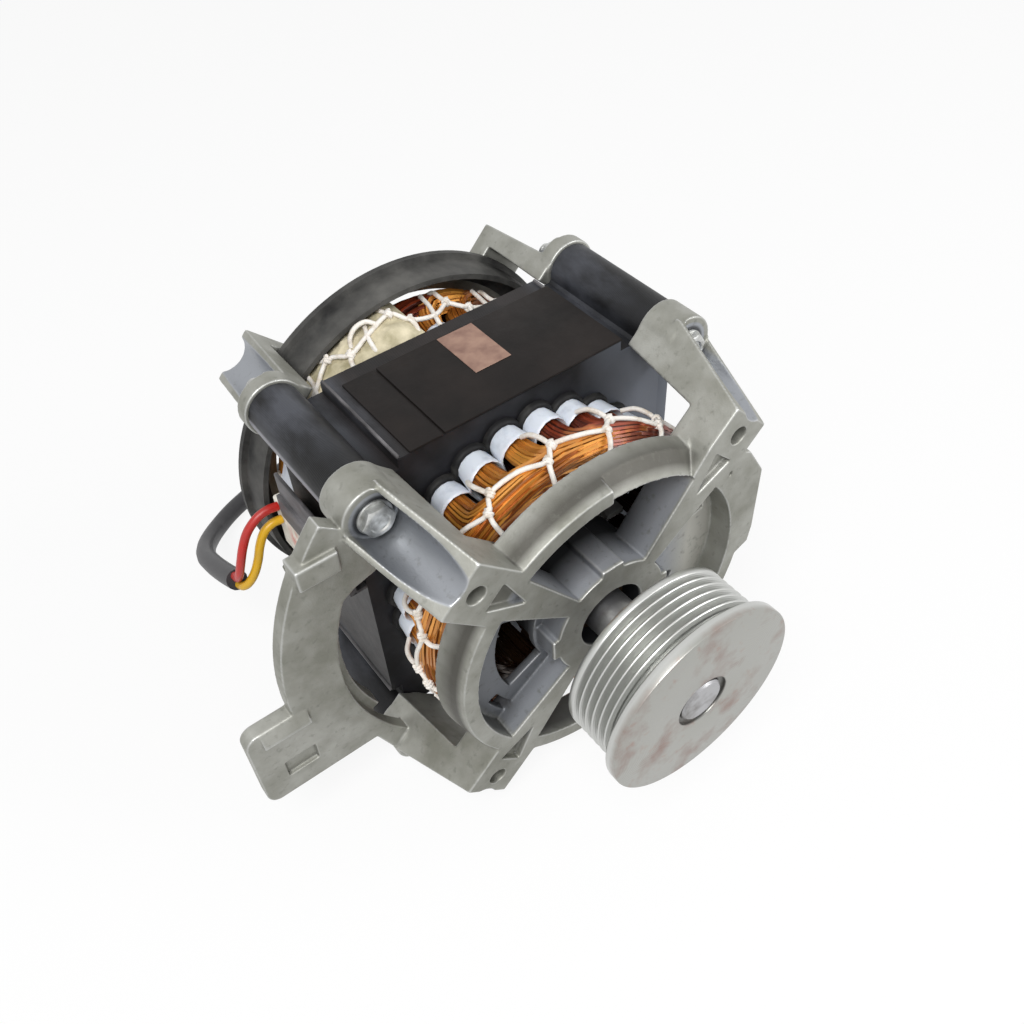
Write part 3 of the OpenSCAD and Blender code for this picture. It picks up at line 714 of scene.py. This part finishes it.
def lacing(cell_points, seed):
    """Lines of a net. cell_points gives (angle, y, radius) along the running cord and the tails of a cell."""
    rng = random.Random(seed)
    running, lines = [], []
    for cell in range(cells):
        start = first_knot - cell * cell_angle
        jitter = [(rng.uniform(-0.9, 0.9), rng.uniform(-0.5, 0.5)) for _ in range(3)]
        run, tails = cell_points(start, jitter)
        running += run
        for tail in tails:
            lines.append([(p, 1) for p in smooth_line([on_coil(*p) for p in tail], steps=4)])
        for angle, at_y, radius in run[:2]:
            out = polar(1, math.radians(angle))
            along = Vector((out.z, 0.5, -out.x)).normalized()
            lines.append(knot(on_coil(angle, at_y, radius) * mm, along, out))
    closed = [on_coil(*p) for p in running + running[:1]]
    lines.append([(p, 1) for p in smooth_line(closed, steps=4)])
    return lines


def front_cell(start, jitter):
    """Knots and tails of one cell in front, each shifted a little."""
    (a, b), (c, d), (e, f) = jitter
    first = (start + a, 17.2 + b, lace_r)
    second = (start - 5.5 + c, 20.6 + d, lace_r)
    tails = [
        [first, (start + 1.2 + e, 14.6, 47.2), (start + 2 + e, 13, 44), (start + 2.4 + e, 13.2, 39.5)],
        [second, (start - 4 + f, 24.2, lace_r), (start - 3.2 + f, 27.6, 47), (start - 2.8, 30.4, 44.6)],
    ]
    return [first, second, (start - 14 + e, 19.4 + f, lace_r)], tails


lace = mottled(
    "lacing_cord", 3 * mm, 4, tone(232, 226, 218), tone(190, 172, 150), (0.5, 0.8),
    grain=(0.35 * mm, 2, 0.08 * mm), Roughness=0.75, Subsurface_Weight=0.05,
)


def lacing_net(name, lines, node):
    cord_mesh(name, [(lines, 0)], lace_d * mm, lace_sides, lace, [node])


lacing_net("front_net", lacing(front_cell, 11), "front_lacing")

# Rear wrap: fibrous sheet pulled over the upper left of the rear coil end, in lumps under the
# rear lacing, of which one loop hangs slack. A white paper flap closes the coil end's left side.
wrap_low, wrap_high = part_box("rear_wrap")
wrap_from, wrap_to = math.radians(92), math.radians(158)
wrap_foot = 48.4
wrap_rise = 3.5
wrap_gap = 0.55
flap_from, flap_span = 140, 38
flap_r = 49.6
flap_foot = 76.2
flap_l = 11.3
flap_t = 0.3 * mm


def wrap_radius(angle, at_y):
    """Radius in millimetres of the wrap's outside, with angle in radians and y in millimetres."""
    u = (angle - wrap_from) / (wrap_to - wrap_from)
    v = (at_y - wrap_low.y / mm) / ((wrap_high.y - wrap_low.y) / mm)
    if not (0 <= u <= 1 and 0 <= v <= 1):
        return 0
    bulge = (1 - abs(2 * u - 1) ** 8) * (1 - abs(2 * v - 1) ** 4)
    lumps = noise.noise(Vector((angle * 14, at_y * 0.28, 3)))
    creases = noise.noise(Vector((angle * 40, at_y * 0.8, 7)))
    return wrap_foot + bulge * (wrap_rise + 0.8 * (lumps + 0.5 * creases))


def wrap_place(u, v):
    angle = wrap_from + (wrap_to - wrap_from) * u
    at_y = (wrap_low.y + (wrap_high.y - wrap_low.y) * v) / mm
    return on_coil(math.degrees(angle), at_y, max(wrap_foot, wrap_radius(angle, at_y))) * mm


bm = bmesh.new()
sheet(bm, along=110, across=36, place=wrap_place)
face_outward(bm)
fibre = mottled(
    "fibre_wrap", 6 * mm, 5, tone(214, 204, 176), tone(150, 142, 112), (0.35, 0.7),
    grain=(0.8 * mm, 5, (1, 0.35, 1), 0.3 * mm), Roughness=0.85,
)
new_piece("rear_fibre", bm, fibre, ["rear_wrap"], crease=80)


def flap_place(u, v):
    radius = flap_r + 0.9 * noise.noise(Vector((u * 3, v * 2, 5))) + 0.5 * v
    return on_coil(flap_from + flap_span * u, flap_foot + flap_l * v, radius) * mm


bm = bmesh.new()
sheet(bm, along=28, across=10, place=flap_place)
bmesh.ops.solidify(bm, geom=bm.faces, thickness=flap_t)
face_outward(bm)
new_piece("paper_flap", bm, film, crease=60)


def rear_cell(start, jitter):
    """Knots and tails of one cell behind, lifted over the wrap where it lies."""
    (a, b), (c, d), (e, f) = jitter

    def over(angle, at_y):
        return angle, at_y, max(lace_r, wrap_radius(math.radians(angle % 360), at_y) + wrap_gap)

    first = over(start + a, 86.4 + b)
    second = over(start - 6 + c, 82.4 + d)
    middle = over(start - 14 + e, 82.6 + f)
    tails = [
        [first, over(start + 1 + e, 89.6), over(start + 1.6 + e, 92.8), (start + 2, 95, 45)],
        [second, over(start - 5 + f, 79.6), (start - 4.4 + f, 77.2, 47.6)],
        [middle, over(start - 13.2 + e, 79.8), (start - 12.6 + e, 77.2, 47.6)],
        [middle, over(start - 15.4 + f, 86.2), over(start - 16 + f, 89.4), over(start - 16.3 + f, 92.6)],
    ]
    return [first, second, middle], tails


slack_loop = [
    (113, 84.6, 51.6), (111.5, 86, 53.2), (108.5, 86.8, 54.2), (105, 86.4, 54), (102.6, 84.8, 52.2),
]
loop_line = [(p, 1) for p in smooth_line([on_coil(*p) for p in slack_loop], steps=6)]
lacing_net("rear_net", lacing(rear_cell, 12) + [loop_line], "rear_lacing")

# Top cover: a lacquered board glued on the stack's upper face, with a narrower slip of the same
# board to its left and a blank paper label on it.
cover_low, cover_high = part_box("top_cover")
label_low, label_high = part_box("blank_label")
slip_w = 9.6 * mm
slip_gap = 0.5 * mm
slip_drop = 0.25 * mm
bm = bmesh.new()
box_between(bm, cover_low, cover_high, ease=0.22 * mm)
box_between(
    bm, (cover_low.x - slip_gap - slip_w, cover_low.y, cover_low.z - sunk),
    (cover_low.x - slip_gap, cover_high.y, cover_high.z - slip_drop), ease=0.18 * mm,
)
board = mottled(
    "black_board", 16 * mm, 5, tone(14, 11, 10), tone(31, 26, 24), (0.3, 0.72),
    grain=(0.9 * mm, 4, 0.03 * mm), Specular_IOR_Level=0.2,
)
board.feed(Roughness=0.5 + 0.2 * board.cloud(3 * mm))
new_piece("cover_board", bm, board, ["top_cover"])
bm = bmesh.new()
box_between(bm, label_low, label_high, ease=0.08 * mm, segments=1)
paper = mottled(
    "blank_paper", 5 * mm, 5, tone(156, 126, 110), tone(118, 89, 79), (0.35, 0.72),
    grain=(0.5 * mm, 3, 0.02 * mm), Roughness=0.7,
)
new_piece("paper_label", bm, paper, ["blank_label"])

# Front shield: one pressure die casting in aluminium with the front ring, four arms, bolt
# troughs, side flange and lug. Its edges are rounded by the mould and painted lighter, partly
# rubbed bright and partly a painted highlight. Painted shade darkens its ring's inner side, its
# inner corners along with real dirt there, the space behind the arms, the hub's opening and the
# bolt seats. A painted bluish reflection lies on the troughs and the hub's inner facets, and a
# painted light on the right side inside the hub.
cast_voxel = 0.27 * mm
cast_faces = 190000
soften_rounds = 14
bolt_at = 47.8 * mm
weld_gap = 0.002 * mm
edge_rounds = 3
edge_gain = 6


def merged_copy(node):
    """A bmesh of a CAD node's mesh, with its loose triangles joined."""
    bm = bmesh.new()
    bm.from_mesh(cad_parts[node].data)
    bmesh.ops.remove_doubles(bm, verts=bm.verts, dist=weld_gap)
    return bm


def read_all(rows, key, width, kind=float):
    """One property of all points or edges as an array of rows."""
    values = np.empty(len(rows) * width, dtype=kind)
    rows.foreach_get(key, values)
    return values.reshape(-1, width)


def mark_edges(mesh):
    """Stores how far each point stands on an outer edge, or lies in an inner corner, as attributes."""
    count = len(mesh.vertices)
    place = read_all(mesh.vertices, "co", 3)
    normal = read_all(mesh.vertices, "normal", 3)
    first, second = read_all(mesh.edges, "vertices", 2, int).T
    step = place[second] - place[first]
    step /= np.maximum(np.linalg.norm(step, axis=1), 1e-9)[:, None]
    bend = np.zeros(count)
    ways = np.zeros(count)
    np.add.at(bend, first, (normal[first] * step).sum(1))
    np.add.at(bend, second, -(normal[second] * step).sum(1))
    np.add.at(ways, first, 1)
    np.add.at(ways, second, 1)
    ways = np.maximum(ways, 1)
    bend /= ways
    for _ in range(edge_rounds):
        spread = np.zeros(count)
        np.add.at(spread, first, bend[second])
        np.add.at(spread, second, bend[first])
        bend = bend * 0.5 + spread / ways * 0.5
    for name, share in (("edge", -bend), ("hollow", bend)):
        layer = mesh.attributes.new(name, "FLOAT", "POINT")
        layer.data.foreach_set("value", np.clip(share * edge_gain, 0, 1).astype(np.float32))


def settle(piece):
    """Gives a piece the mesh its modifiers make, and clears them."""
    skin = finished_mesh(piece)
    piece.modifiers.clear()
    piece.data = skin
    return skin


def cast_copy(name, node):
    """A CAD node with every edge rounded, as a mould leaves it."""
    piece = new_piece(name, merged_copy(node), casting, [node])
    remesh = piece.modifiers.new("skin", "REMESH")
    remesh.mode = "VOXEL"
    remesh.voxel_size = cast_voxel
    soften = piece.modifiers.new("soften", "SMOOTH")
    soften.factor = 0.5
    soften.iterations = soften_rounds
    skin = settle(piece)
    thin = piece.modifiers.new("thin", "DECIMATE")
    thin.ratio = min(1, cast_faces / (2 * len(skin.polygons)))
    skin = settle(piece)
    skin.name = name
    skin.polygons.foreach_set("use_smooth", [True] * len(skin.polygons))
    mark_edges(skin)
    skin.materials.clear()
    skin.materials.append(casting.material)


casting = Finish("cast_aluminium", Metallic=0.75)
band, mix = casting.band, casting.mix
x, y, z = casting.axes()
off_x = abs(x) - bolt_at
off_z = abs(z) - bolt_at
off_bolt = (off_x * off_x + off_z * off_z) ** 0.5
from_axis = (x * x + z * z) ** 0.5
edge = casting.attribute("edge")
hollow = casting.attribute("hollow")
stain = casting.cloud(22 * mm, 5)
patch = casting.cloud(7 * mm, 5)
speck = casting.cloud(2.2 * mm, 4)
grain = casting.cloud(0.5 * mm, 3)
trough = 1 - band(off_bolt, 6.4 * mm, 6.7 * mm)
seat_ring = band(y, 26 * mm, 27 * mm) * (1 - band(off_bolt, 5.2 * mm, 5.9 * mm))
front_half = 1 - band(y, 60 * mm, 61 * mm)
right_side = band(x, 24 * mm, 34 * mm)
inner = (1 - band(from_axis, 41 * mm, 43 * mm)) * front_half
behind_face = inner * band(y, 0.4 * mm, 1.2 * mm)
front_ring = band(from_axis, 42.2 * mm, 42.8 * mm) * (1 - band(from_axis, 48 * mm, 49 * mm))
front_ring = front_ring * band(y, mm, 3 * mm) * (1 - band(y, 30 * mm, 31 * mm))
front_ring = front_ring * (1 - right_side)
# The troughs and the hub's inner facets are painted bluish: a painted reflection.
facet_sheen = behind_face * (1 - right_side)
painted_sheen = casting.node("ShaderNodeMath", {"operation": "MAXIMUM"}, {0: trough, 1: facet_sheen})
blotch = band(stain * 0.6 + patch * 0.4, 0.36, 0.64)
skin_tone = mix(blotch, tone(166, 166, 160), tone(130, 130, 121))
# Inside the hub the right side is painted lighter: painted light.
lit_right_skin = mix(behind_face * right_side, skin_tone, tone(186, 185, 178))
# The ring's inner side is painted dark: painted shade.
shaded_ring_skin = mix(front_ring * 0.9, lit_right_skin, tone(78, 76, 71))
cast_body = mix(painted_sheen, shaded_ring_skin, tone(152, 155, 160))
# Outer edges are painted lighter: partly rubbed wear, partly a painted highlight.
worn_and_highlit = mix(band(edge + speck * 0.3, 0.4, 0.9) * 0.65, cast_body, tone(200, 201, 200))
dotted = mix(band(speck, 0.58, 0.74) * 0.5, worn_and_highlit, tone(108, 108, 101))
# Inner corners are painted darker: dirt there, and painted shade.
dirt_and_shade = mix(band(hollow + speck * 0.5, 0.5, 1.1) * 0.7, dotted, tone(84, 84, 82))
# Painted shade: near black behind the arms, in the hub's opening and round the bolt seats.
cavity = inner * band(y, 3 * mm, 13 * mm) * (1 - band(x, 14 * mm, 26 * mm))
hub_hole = (1 - band(from_axis, 10.4 * mm, 10.8 * mm)) * behind_face
painted_shade = cavity * 0.96 + hub_hole * (1 - cavity) * 0.92 + seat_ring * front_half * 0.8
casting.feed(
    Base_Color=mix(painted_shade, dirt_and_shade, tone(20, 20, 21)),
    Roughness=0.56 - 0.14 * band(edge, 0.2, 0.7) + 0.16 * (stain - 0.5) - 0.14 * trough,
    Normal=casting.relief(grain + speck * 0.6, 0.05 * mm),
)
cast_copy("front_casting", "front_shield")

# Rear shield: the casting that closes the back, with the rear bearing hub in its four arms.
# It is held to the front one by the through bolts.
cast_copy("rear_casting", "rear_shield")

# Through bolts and nuts: zinc plated steel, cold headed with a flange and a dished, well rounded
# hexagon. The nuts sit behind the rear shield's corners.
bolt_low, bolt_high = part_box("through_bolts")
nut_low, nut_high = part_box("bolt_nuts")
bolt_r = 2.5 * mm
bolt_steps, flange_steps, hex_steps = 24, 40, 72
pin_r = 0.5 * mm
flange_ease = 0.3 * mm
flange_r = 4.7 * mm
flange_t = 0.8 * mm
hex_half = 3.9 * mm
top_r = 3.5 * mm
dish_r = 2.7 * mm
dish_h = 0.35 * mm
head_h = 2.2 * mm
hex_rings = 5
hex_slope = 0.6
nut_h = nut_high.y - nut_low.y - flange_t
seat_y = bolt_low.y + 5.2 * mm
thread_step = 0.8 * mm
thread_flat = 0.1 * mm
thread_depth = 0.4 * mm
thread_run = 3 * mm
shank_sunk = 0.5 * mm


def spin_outline(bm, outline, steps, centre=(0, 0)):
    """A turned solid about an axis along Y from a closed outline of (radius, y) points in metres."""
    start = len(bm.faces)
    verts = [bm.verts.new((centre[0] + r, at_y, centre[1])) for r, at_y in outline]
    edges = [bm.edges.new(pair) for pair in zip(verts, verts[1:] + verts[:1])]
    bmesh.ops.spin(
        bm, geom=verts + edges, cent=(centre[0], 0, centre[1]), axis=(0, 1, 0), angle=2 * math.pi,
        steps=steps, use_merge=True,
    )
    bm.faces.ensure_lookup_table()
    made = bm.faces[start:]
    bmesh.ops.remove_doubles(bm, verts=list({v for f in made for v in f.verts}), dist=weld_gap)
    face_outward(bm)


def soft_outline(points, radius):
    """A closed outline with every corner rounded off by about the radius."""
    points = [Vector(p) for p in points]
    outline = []
    for before, here, after in zip(points[-1:] + points, points, points[1:] + points[:1]):
        back, on = before - here, after - here
        start = here + back.normalized() * min(radius, back.length * 0.4)
        end = here + on.normalized() * min(radius, on.length * 0.4)
        outline += [start, (start + here * 2 + end) / 4, end]
    return [tuple(p) for p in outline]


def hexagon(bm, centre, foot_y, way, height):
    """A hexagon on a round flange, standing from foot_y, chamfered to a round, dished top."""
    flange_y = foot_y + way * flange_t
    flange = [(pin_r, foot_y), (flange_r, foot_y), (flange_r, flange_y), (pin_r, flange_y)]
    spin_outline(bm, soft_outline(flange, flange_ease), flange_steps, centre)

    def place(u, v):
        turn = 2 * math.pi * u
        reach = hex_half / math.cos(turn % (math.pi / 3) - math.pi / 6)
        rings = [
            (reach, 0), (reach, height - (reach - top_r) * hex_slope), (top_r, height), (dish_r, height),
            (dish_r - dish_h, height - dish_h), (0, height - dish_h),
        ]
        radius, rise = rings[round(v * hex_rings)]
        return Vector((centre[0], flange_y, centre[1])) + polar(radius, turn, way * rise)

    made = sheet(bm, hex_steps, hex_rings, place)
    bmesh.ops.remove_doubles(bm, verts=made, dist=weld_gap)
    face_outward(bm)


zinc = mottled(
    "zinc_steel", 2.5 * mm, 4, tone(205, 206, 204), tone(140, 140, 136), (0.4, 0.75), (0.24, 0.25),
    (0.6 * mm, 3, 0.02 * mm), Metallic=0.9,
)
corners = [(bolt_at * a, bolt_at * b) for a in (-1, 1) for b in (-1, 1)]
shank_y = seat_y - shank_sunk
thread_from = nut_low.y - thread_run
root_r = bolt_r - thread_depth
shank = [(0, shank_y), (bolt_r, shank_y)]
for pitch in range(int((bolt_high.y - thread_from) / thread_step)):
    crest_y = thread_from + pitch * thread_step
    shank += [(bolt_r, crest_y), (bolt_r, crest_y + thread_flat), (root_r, crest_y + thread_step / 2)]
shank += [(root_r, bolt_high.y), (0, bolt_high.y)]
bm = bmesh.new()
for centre in corners:
    hexagon(bm, centre, seat_y, -1, head_h)
    spin_outline(bm, shank, bolt_steps, centre)
new_piece("flange_bolts", bm, zinc, ["through_bolts"])
bm = bmesh.new()
for centre in corners:
    hexagon(bm, centre, nut_low.y, 1, nut_h)
new_piece("flange_nuts", bm, zinc, ["bolt_nuts"])

# Bearings: sintered bronze balls in the hubs, oil felts round them and spring steel plates with
# teeth that hold them. Fibre washers and steel clips set the shaft's end play.
bronze = mottled(
    "sintered_bronze", 1.5 * mm, 3, tone(84, 64, 42), tone(54, 40, 26), Metallic=0.8, Roughness=0.5
)
felt = mottled(
    "oil_felt", 2 * mm, 3, tone(120, 104, 80), tone(72, 60, 44), grain=(0.4 * mm, 3, 0.15 * mm),
    Roughness=0.95,
)
spring = mottled(
    "spring_steel", 5 * mm, 3, tone(120, 120, 122), tone(88, 86, 84), Metallic=0.9, Roughness=0.38
)
fibre_board = mottled("fibre_washer", 2 * mm, 3, tone(110, 76, 48), tone(84, 56, 34), Roughness=0.7)
finish_node(bronze, "front_bush", "rear_bush")
finish_node(felt, "front_felt", "rear_felt")
finish_node(spring, "front_retainer", "rear_retainer", "shaft_clips")
finish_node(fibre_board, "front_thrust_washer", "rear_thrust_washer")

# Rotor: stacked sheets on a ground steel shaft, with a cage and end rings cast in aluminium
# round them. It turns in the stator's bore.
ground = mottled(
    "ground_steel", 4 * mm, 4, tone(172, 172, 174), tone(112, 108, 104), (0.45, 0.8), (0.26, 0.2),
    (0.5 * mm, 3, 0.02 * mm), Metallic=0.95,
)
rotor_steel = mottled(
    "rotor_steel", 6 * mm, 4, tone(122, 118, 114), tone(92, 78, 68), rough=(0.4, 0.2), Metallic=0.8
)
rotor_lines = (rotor_steel.axes()[1] * (2 * math.pi / sheet_pitch)).sine()
rotor_steel.feed(Normal=rotor_steel.relief(rotor_lines, 0.02 * mm))
ring_metal = mottled(
    "rotor_aluminium", 5 * mm, 4, tone(190, 190, 188), tone(140, 140, 138), rough=(0.4, 0.2),
    grain=(0.9 * mm, 3, 0.05 * mm), Metallic=0.85,
)
finish_node(ground, "shaft")
finish_node(rotor_steel, "rotor_core")
finish_node(ring_metal, "front_end_ring", "rear_end_ring")

# Pulley: turned from light metal, with six grooves for a ribbed belt, a flange in front and a
# shallow groove round the shaft's end. It is pressed on the shaft.
pulley_low, pulley_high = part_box("pulley")
pulley_front = pulley_low.y
pulley_back = pulley_high.y
pulley_r = pulley_high.x
groove_count = 6
groove_pitch = 2.34 * mm
rib_r = 25.8 * mm
groove_r = rib_r - 2.2 * mm
relief_r = groove_r + 0.8 * mm
rib_flat = 0.5 * mm
first_rib = pulley_back - 1.9 * mm
rim_w = 3.2 * mm
rim_slope = 2.4 * mm
bore_r = 6.36 * mm
face_groove_w = 1.3 * mm
face_groove_h = mm
turned_ease = 0.35 * mm
turned_steps = 160
tool_pitch = 0.42 * mm
ribs = []
for groove in range(groove_count):
    rib_y = first_rib - groove * groove_pitch
    ribs += [
        (rib_r, rib_y), (groove_r, rib_y - groove_pitch / 2 + rib_flat / 2),
        (groove_r, rib_y - groove_pitch / 2 - rib_flat / 2), (rib_r, rib_y - groove_pitch + rib_flat),
    ]
pulley_outline = (
    [(bore_r, pulley_back), (rib_r, pulley_back)] + ribs
    + [(relief_r, pulley_front + rim_w + rim_slope), (pulley_r, pulley_front + rim_w),
       (pulley_r, pulley_front), (bore_r + face_groove_w, pulley_front),
       (bore_r + face_groove_w, pulley_front + face_groove_h), (bore_r, pulley_front + face_groove_h)]
)
bm = bmesh.new()
spin_outline(bm, soft_outline(pulley_outline, turned_ease), turned_steps)
turned = Finish("turned_aluminium", Metallic=0.95)
x, y, z = turned.axes()
from_axis = (x * x + z * z) ** 0.5
marks = (from_axis * (2 * math.pi / tool_pitch) + turned.cloud(9 * mm) * 5).sine()
ring_gap = turned.band(from_axis, 6.2 * mm, 6.5 * mm) * (1 - turned.band(from_axis, 7.6 * mm, 8 * mm))
on_face = 1 - turned.band(y, pulley_front + 0.5 * mm, pulley_front + 2 * mm)
smudge = turned.band(turned.cloud(10 * mm, 5), 0.5, 0.76) * on_face
rust = turned.band(turned.cloud(3 * mm, 5), 0.6, 0.76) * on_face
# The grooves are painted lighter than the face: a painted highlight.
groove_highlight_tone = turned.mix(on_face, tone(196, 197, 194), tone(168, 168, 163))
bare = turned.mix(smudge, groove_highlight_tone, tone(150, 130, 123))
rusty = turned.mix(rust * 0.4, bare, tone(160, 116, 100))
turned.feed(
    Base_Color=turned.mix(ring_gap * 0.7, rusty, tone(60, 58, 56)),
    Roughness=0.36 + 0.16 * smudge + 0.05 * marks,
    Normal=turned.relief(marks * 0.5 + turned.cloud(4 * mm) * 0.5, 0.015 * mm),
)
new_piece("belt_pulley", bm, turned, ["pulley"], body="rotor", crease=40)

# Lead sleeve: folded white cloth tape over the joints of the two wires, creased by hand, with a
# smear of red on its outside. It is tied to the stack's left side.
sleeve_low, sleeve_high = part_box("lead_insulator")
bm = bmesh.new()
box_between(bm, sleeve_low, sleeve_high, ease=0.9 * mm, segments=3)
bmesh.ops.subdivide_edges(bm, edges=bm.edges, cuts=7, use_grid_fill=True)
sleeve_mid = (sleeve_low + sleeve_high) / 2
for vert in bm.verts:
    crumple = noise.noise(vert.co * 140) * 0.35 + noise.noise(vert.co * 420) * 0.12
    vert.co += (vert.co - sleeve_mid).normalized() * (crumple - 0.4) * mm
cloth = Finish("sleeve_cloth", Roughness=0.75)
x, y, z = cloth.axes()
smear_y = (y - (sleeve_mid.y + 2 * mm)) * (1 / (4.5 * mm))
smear_z = (z - (sleeve_mid.z - mm)) * (1 / (6.5 * mm))
smear_reach = (smear_y * smear_y + smear_z * smear_z) ** 0.5
streaks = cloth.band(cloth.cloud(3 * mm, 4, (1, 1, 0.5)), 0.42, 0.58)
smear = (1 - cloth.band(smear_reach, 0.4, 1)) * streaks
cloth_stain = cloth.band(cloth.cloud(6 * mm, 5), 0.4, 0.75)
cloth_tone = cloth.mix(cloth_stain, tone(226, 222, 212), tone(186, 182, 168))
cloth.feed(
    Base_Color=cloth.mix(smear * 0.8, cloth_tone, tone(196, 84, 74)),
    Normal=cloth.relief(cloth.cloud(0.5 * mm, 3), 0.1 * mm),
)
new_piece("lead_sleeve", bm, cloth, ["lead_insulator"], crease=60)

# Floor and light: a pale floor that shows near white and keeps the shadow, one large soft lamp
# above and to the left, a weaker one from the right, and an even white surround.
floor_half = 3
floor_glow = 0.88
surround_level = 0.34
white_rays = ("Is Camera Ray", "Is Glossy Ray", "Is Transmission Ray")
stage = bmesh.new()
bmesh.ops.create_grid(stage, x_segments=1, y_segments=1, size=floor_half)
bmesh.ops.translate(stage, vec=(0, 0, floor_z), verts=stage.verts)
floor_mesh = bpy.data.meshes.new("floor")
stage.to_mesh(floor_mesh)
stage.free()
floor = in_scene("floor", floor_mesh)
pale = Finish("pale_floor", Roughness=0.9, Base_Color=(0.8, 0.8, 0.8))
glow = pale.node("ShaderNodeEmission", {}, {"Color": (1, 1, 1), "Strength": 1})
rays = pale.tree.nodes.new("ShaderNodeLightPath")
seen = sum(Value(pale, rays.outputs[kind]) for kind in white_rays)
lit = Value(pale, pale.surface.outputs[0])
shown = pale.node("ShaderNodeMixShader", {}, {0: seen * floor_glow, 1: lit, 2: glow})
pale.tree.links.new(shown.socket, pale.tree.nodes["Material Output"].inputs["Surface"])
floor_mesh.materials.append(pale.material)

world = bpy.data.worlds.new("surround")
bpy.context.scene.world = world
world.use_nodes = True
sky = world.node_tree
even = sky.nodes["Background"]
white = sky.nodes.new("ShaderNodeBackground")
for light, level in ((even, surround_level), (white, 1)):
    light.inputs["Color"].default_value = (1, 1, 1, 1)
    light.inputs["Strength"].default_value = level
rays = sky.nodes.new("ShaderNodeLightPath").outputs
seen = rays[white_rays[0]]
for kind in white_rays[1:]:
    either = sky.nodes.new("ShaderNodeMath")
    sky.links.new(seen, either.inputs[0])
    sky.links.new(rays[kind], either.inputs[1])
    seen = either.outputs[0]
choose = sky.nodes.new("ShaderNodeMixShader")
for socket, source in zip(choose.inputs, (seen, even.outputs[0], white.outputs[0])):
    sky.links.new(source, socket)
sky.links.new(choose.outputs[0], sky.nodes["World Output"].inputs["Surface"])


def soft_lamp(name, place, aim, size, watts):
    lamp = in_scene(name, bpy.data.lights.new(name, "AREA"))
    lamp.data.shape = "DISK"
    lamp.data.size = size
    lamp.data.energy = watts
    lamp.location = place
    lamp.rotation_euler = (Vector(aim) - Vector(place)).to_track_quat("-Z", "Y").to_euler()


soft_lamp("key_lamp", (-0.45, -0.35, 0.85), (0, 0.03, 0), 0.6, 9.5)
soft_lamp("fill_lamp", (0.7, -0.6, 0.5), (0, 0.03, 0), 0.6, 5)
bpy.context.scene.view_settings.view_transform = "Standard"
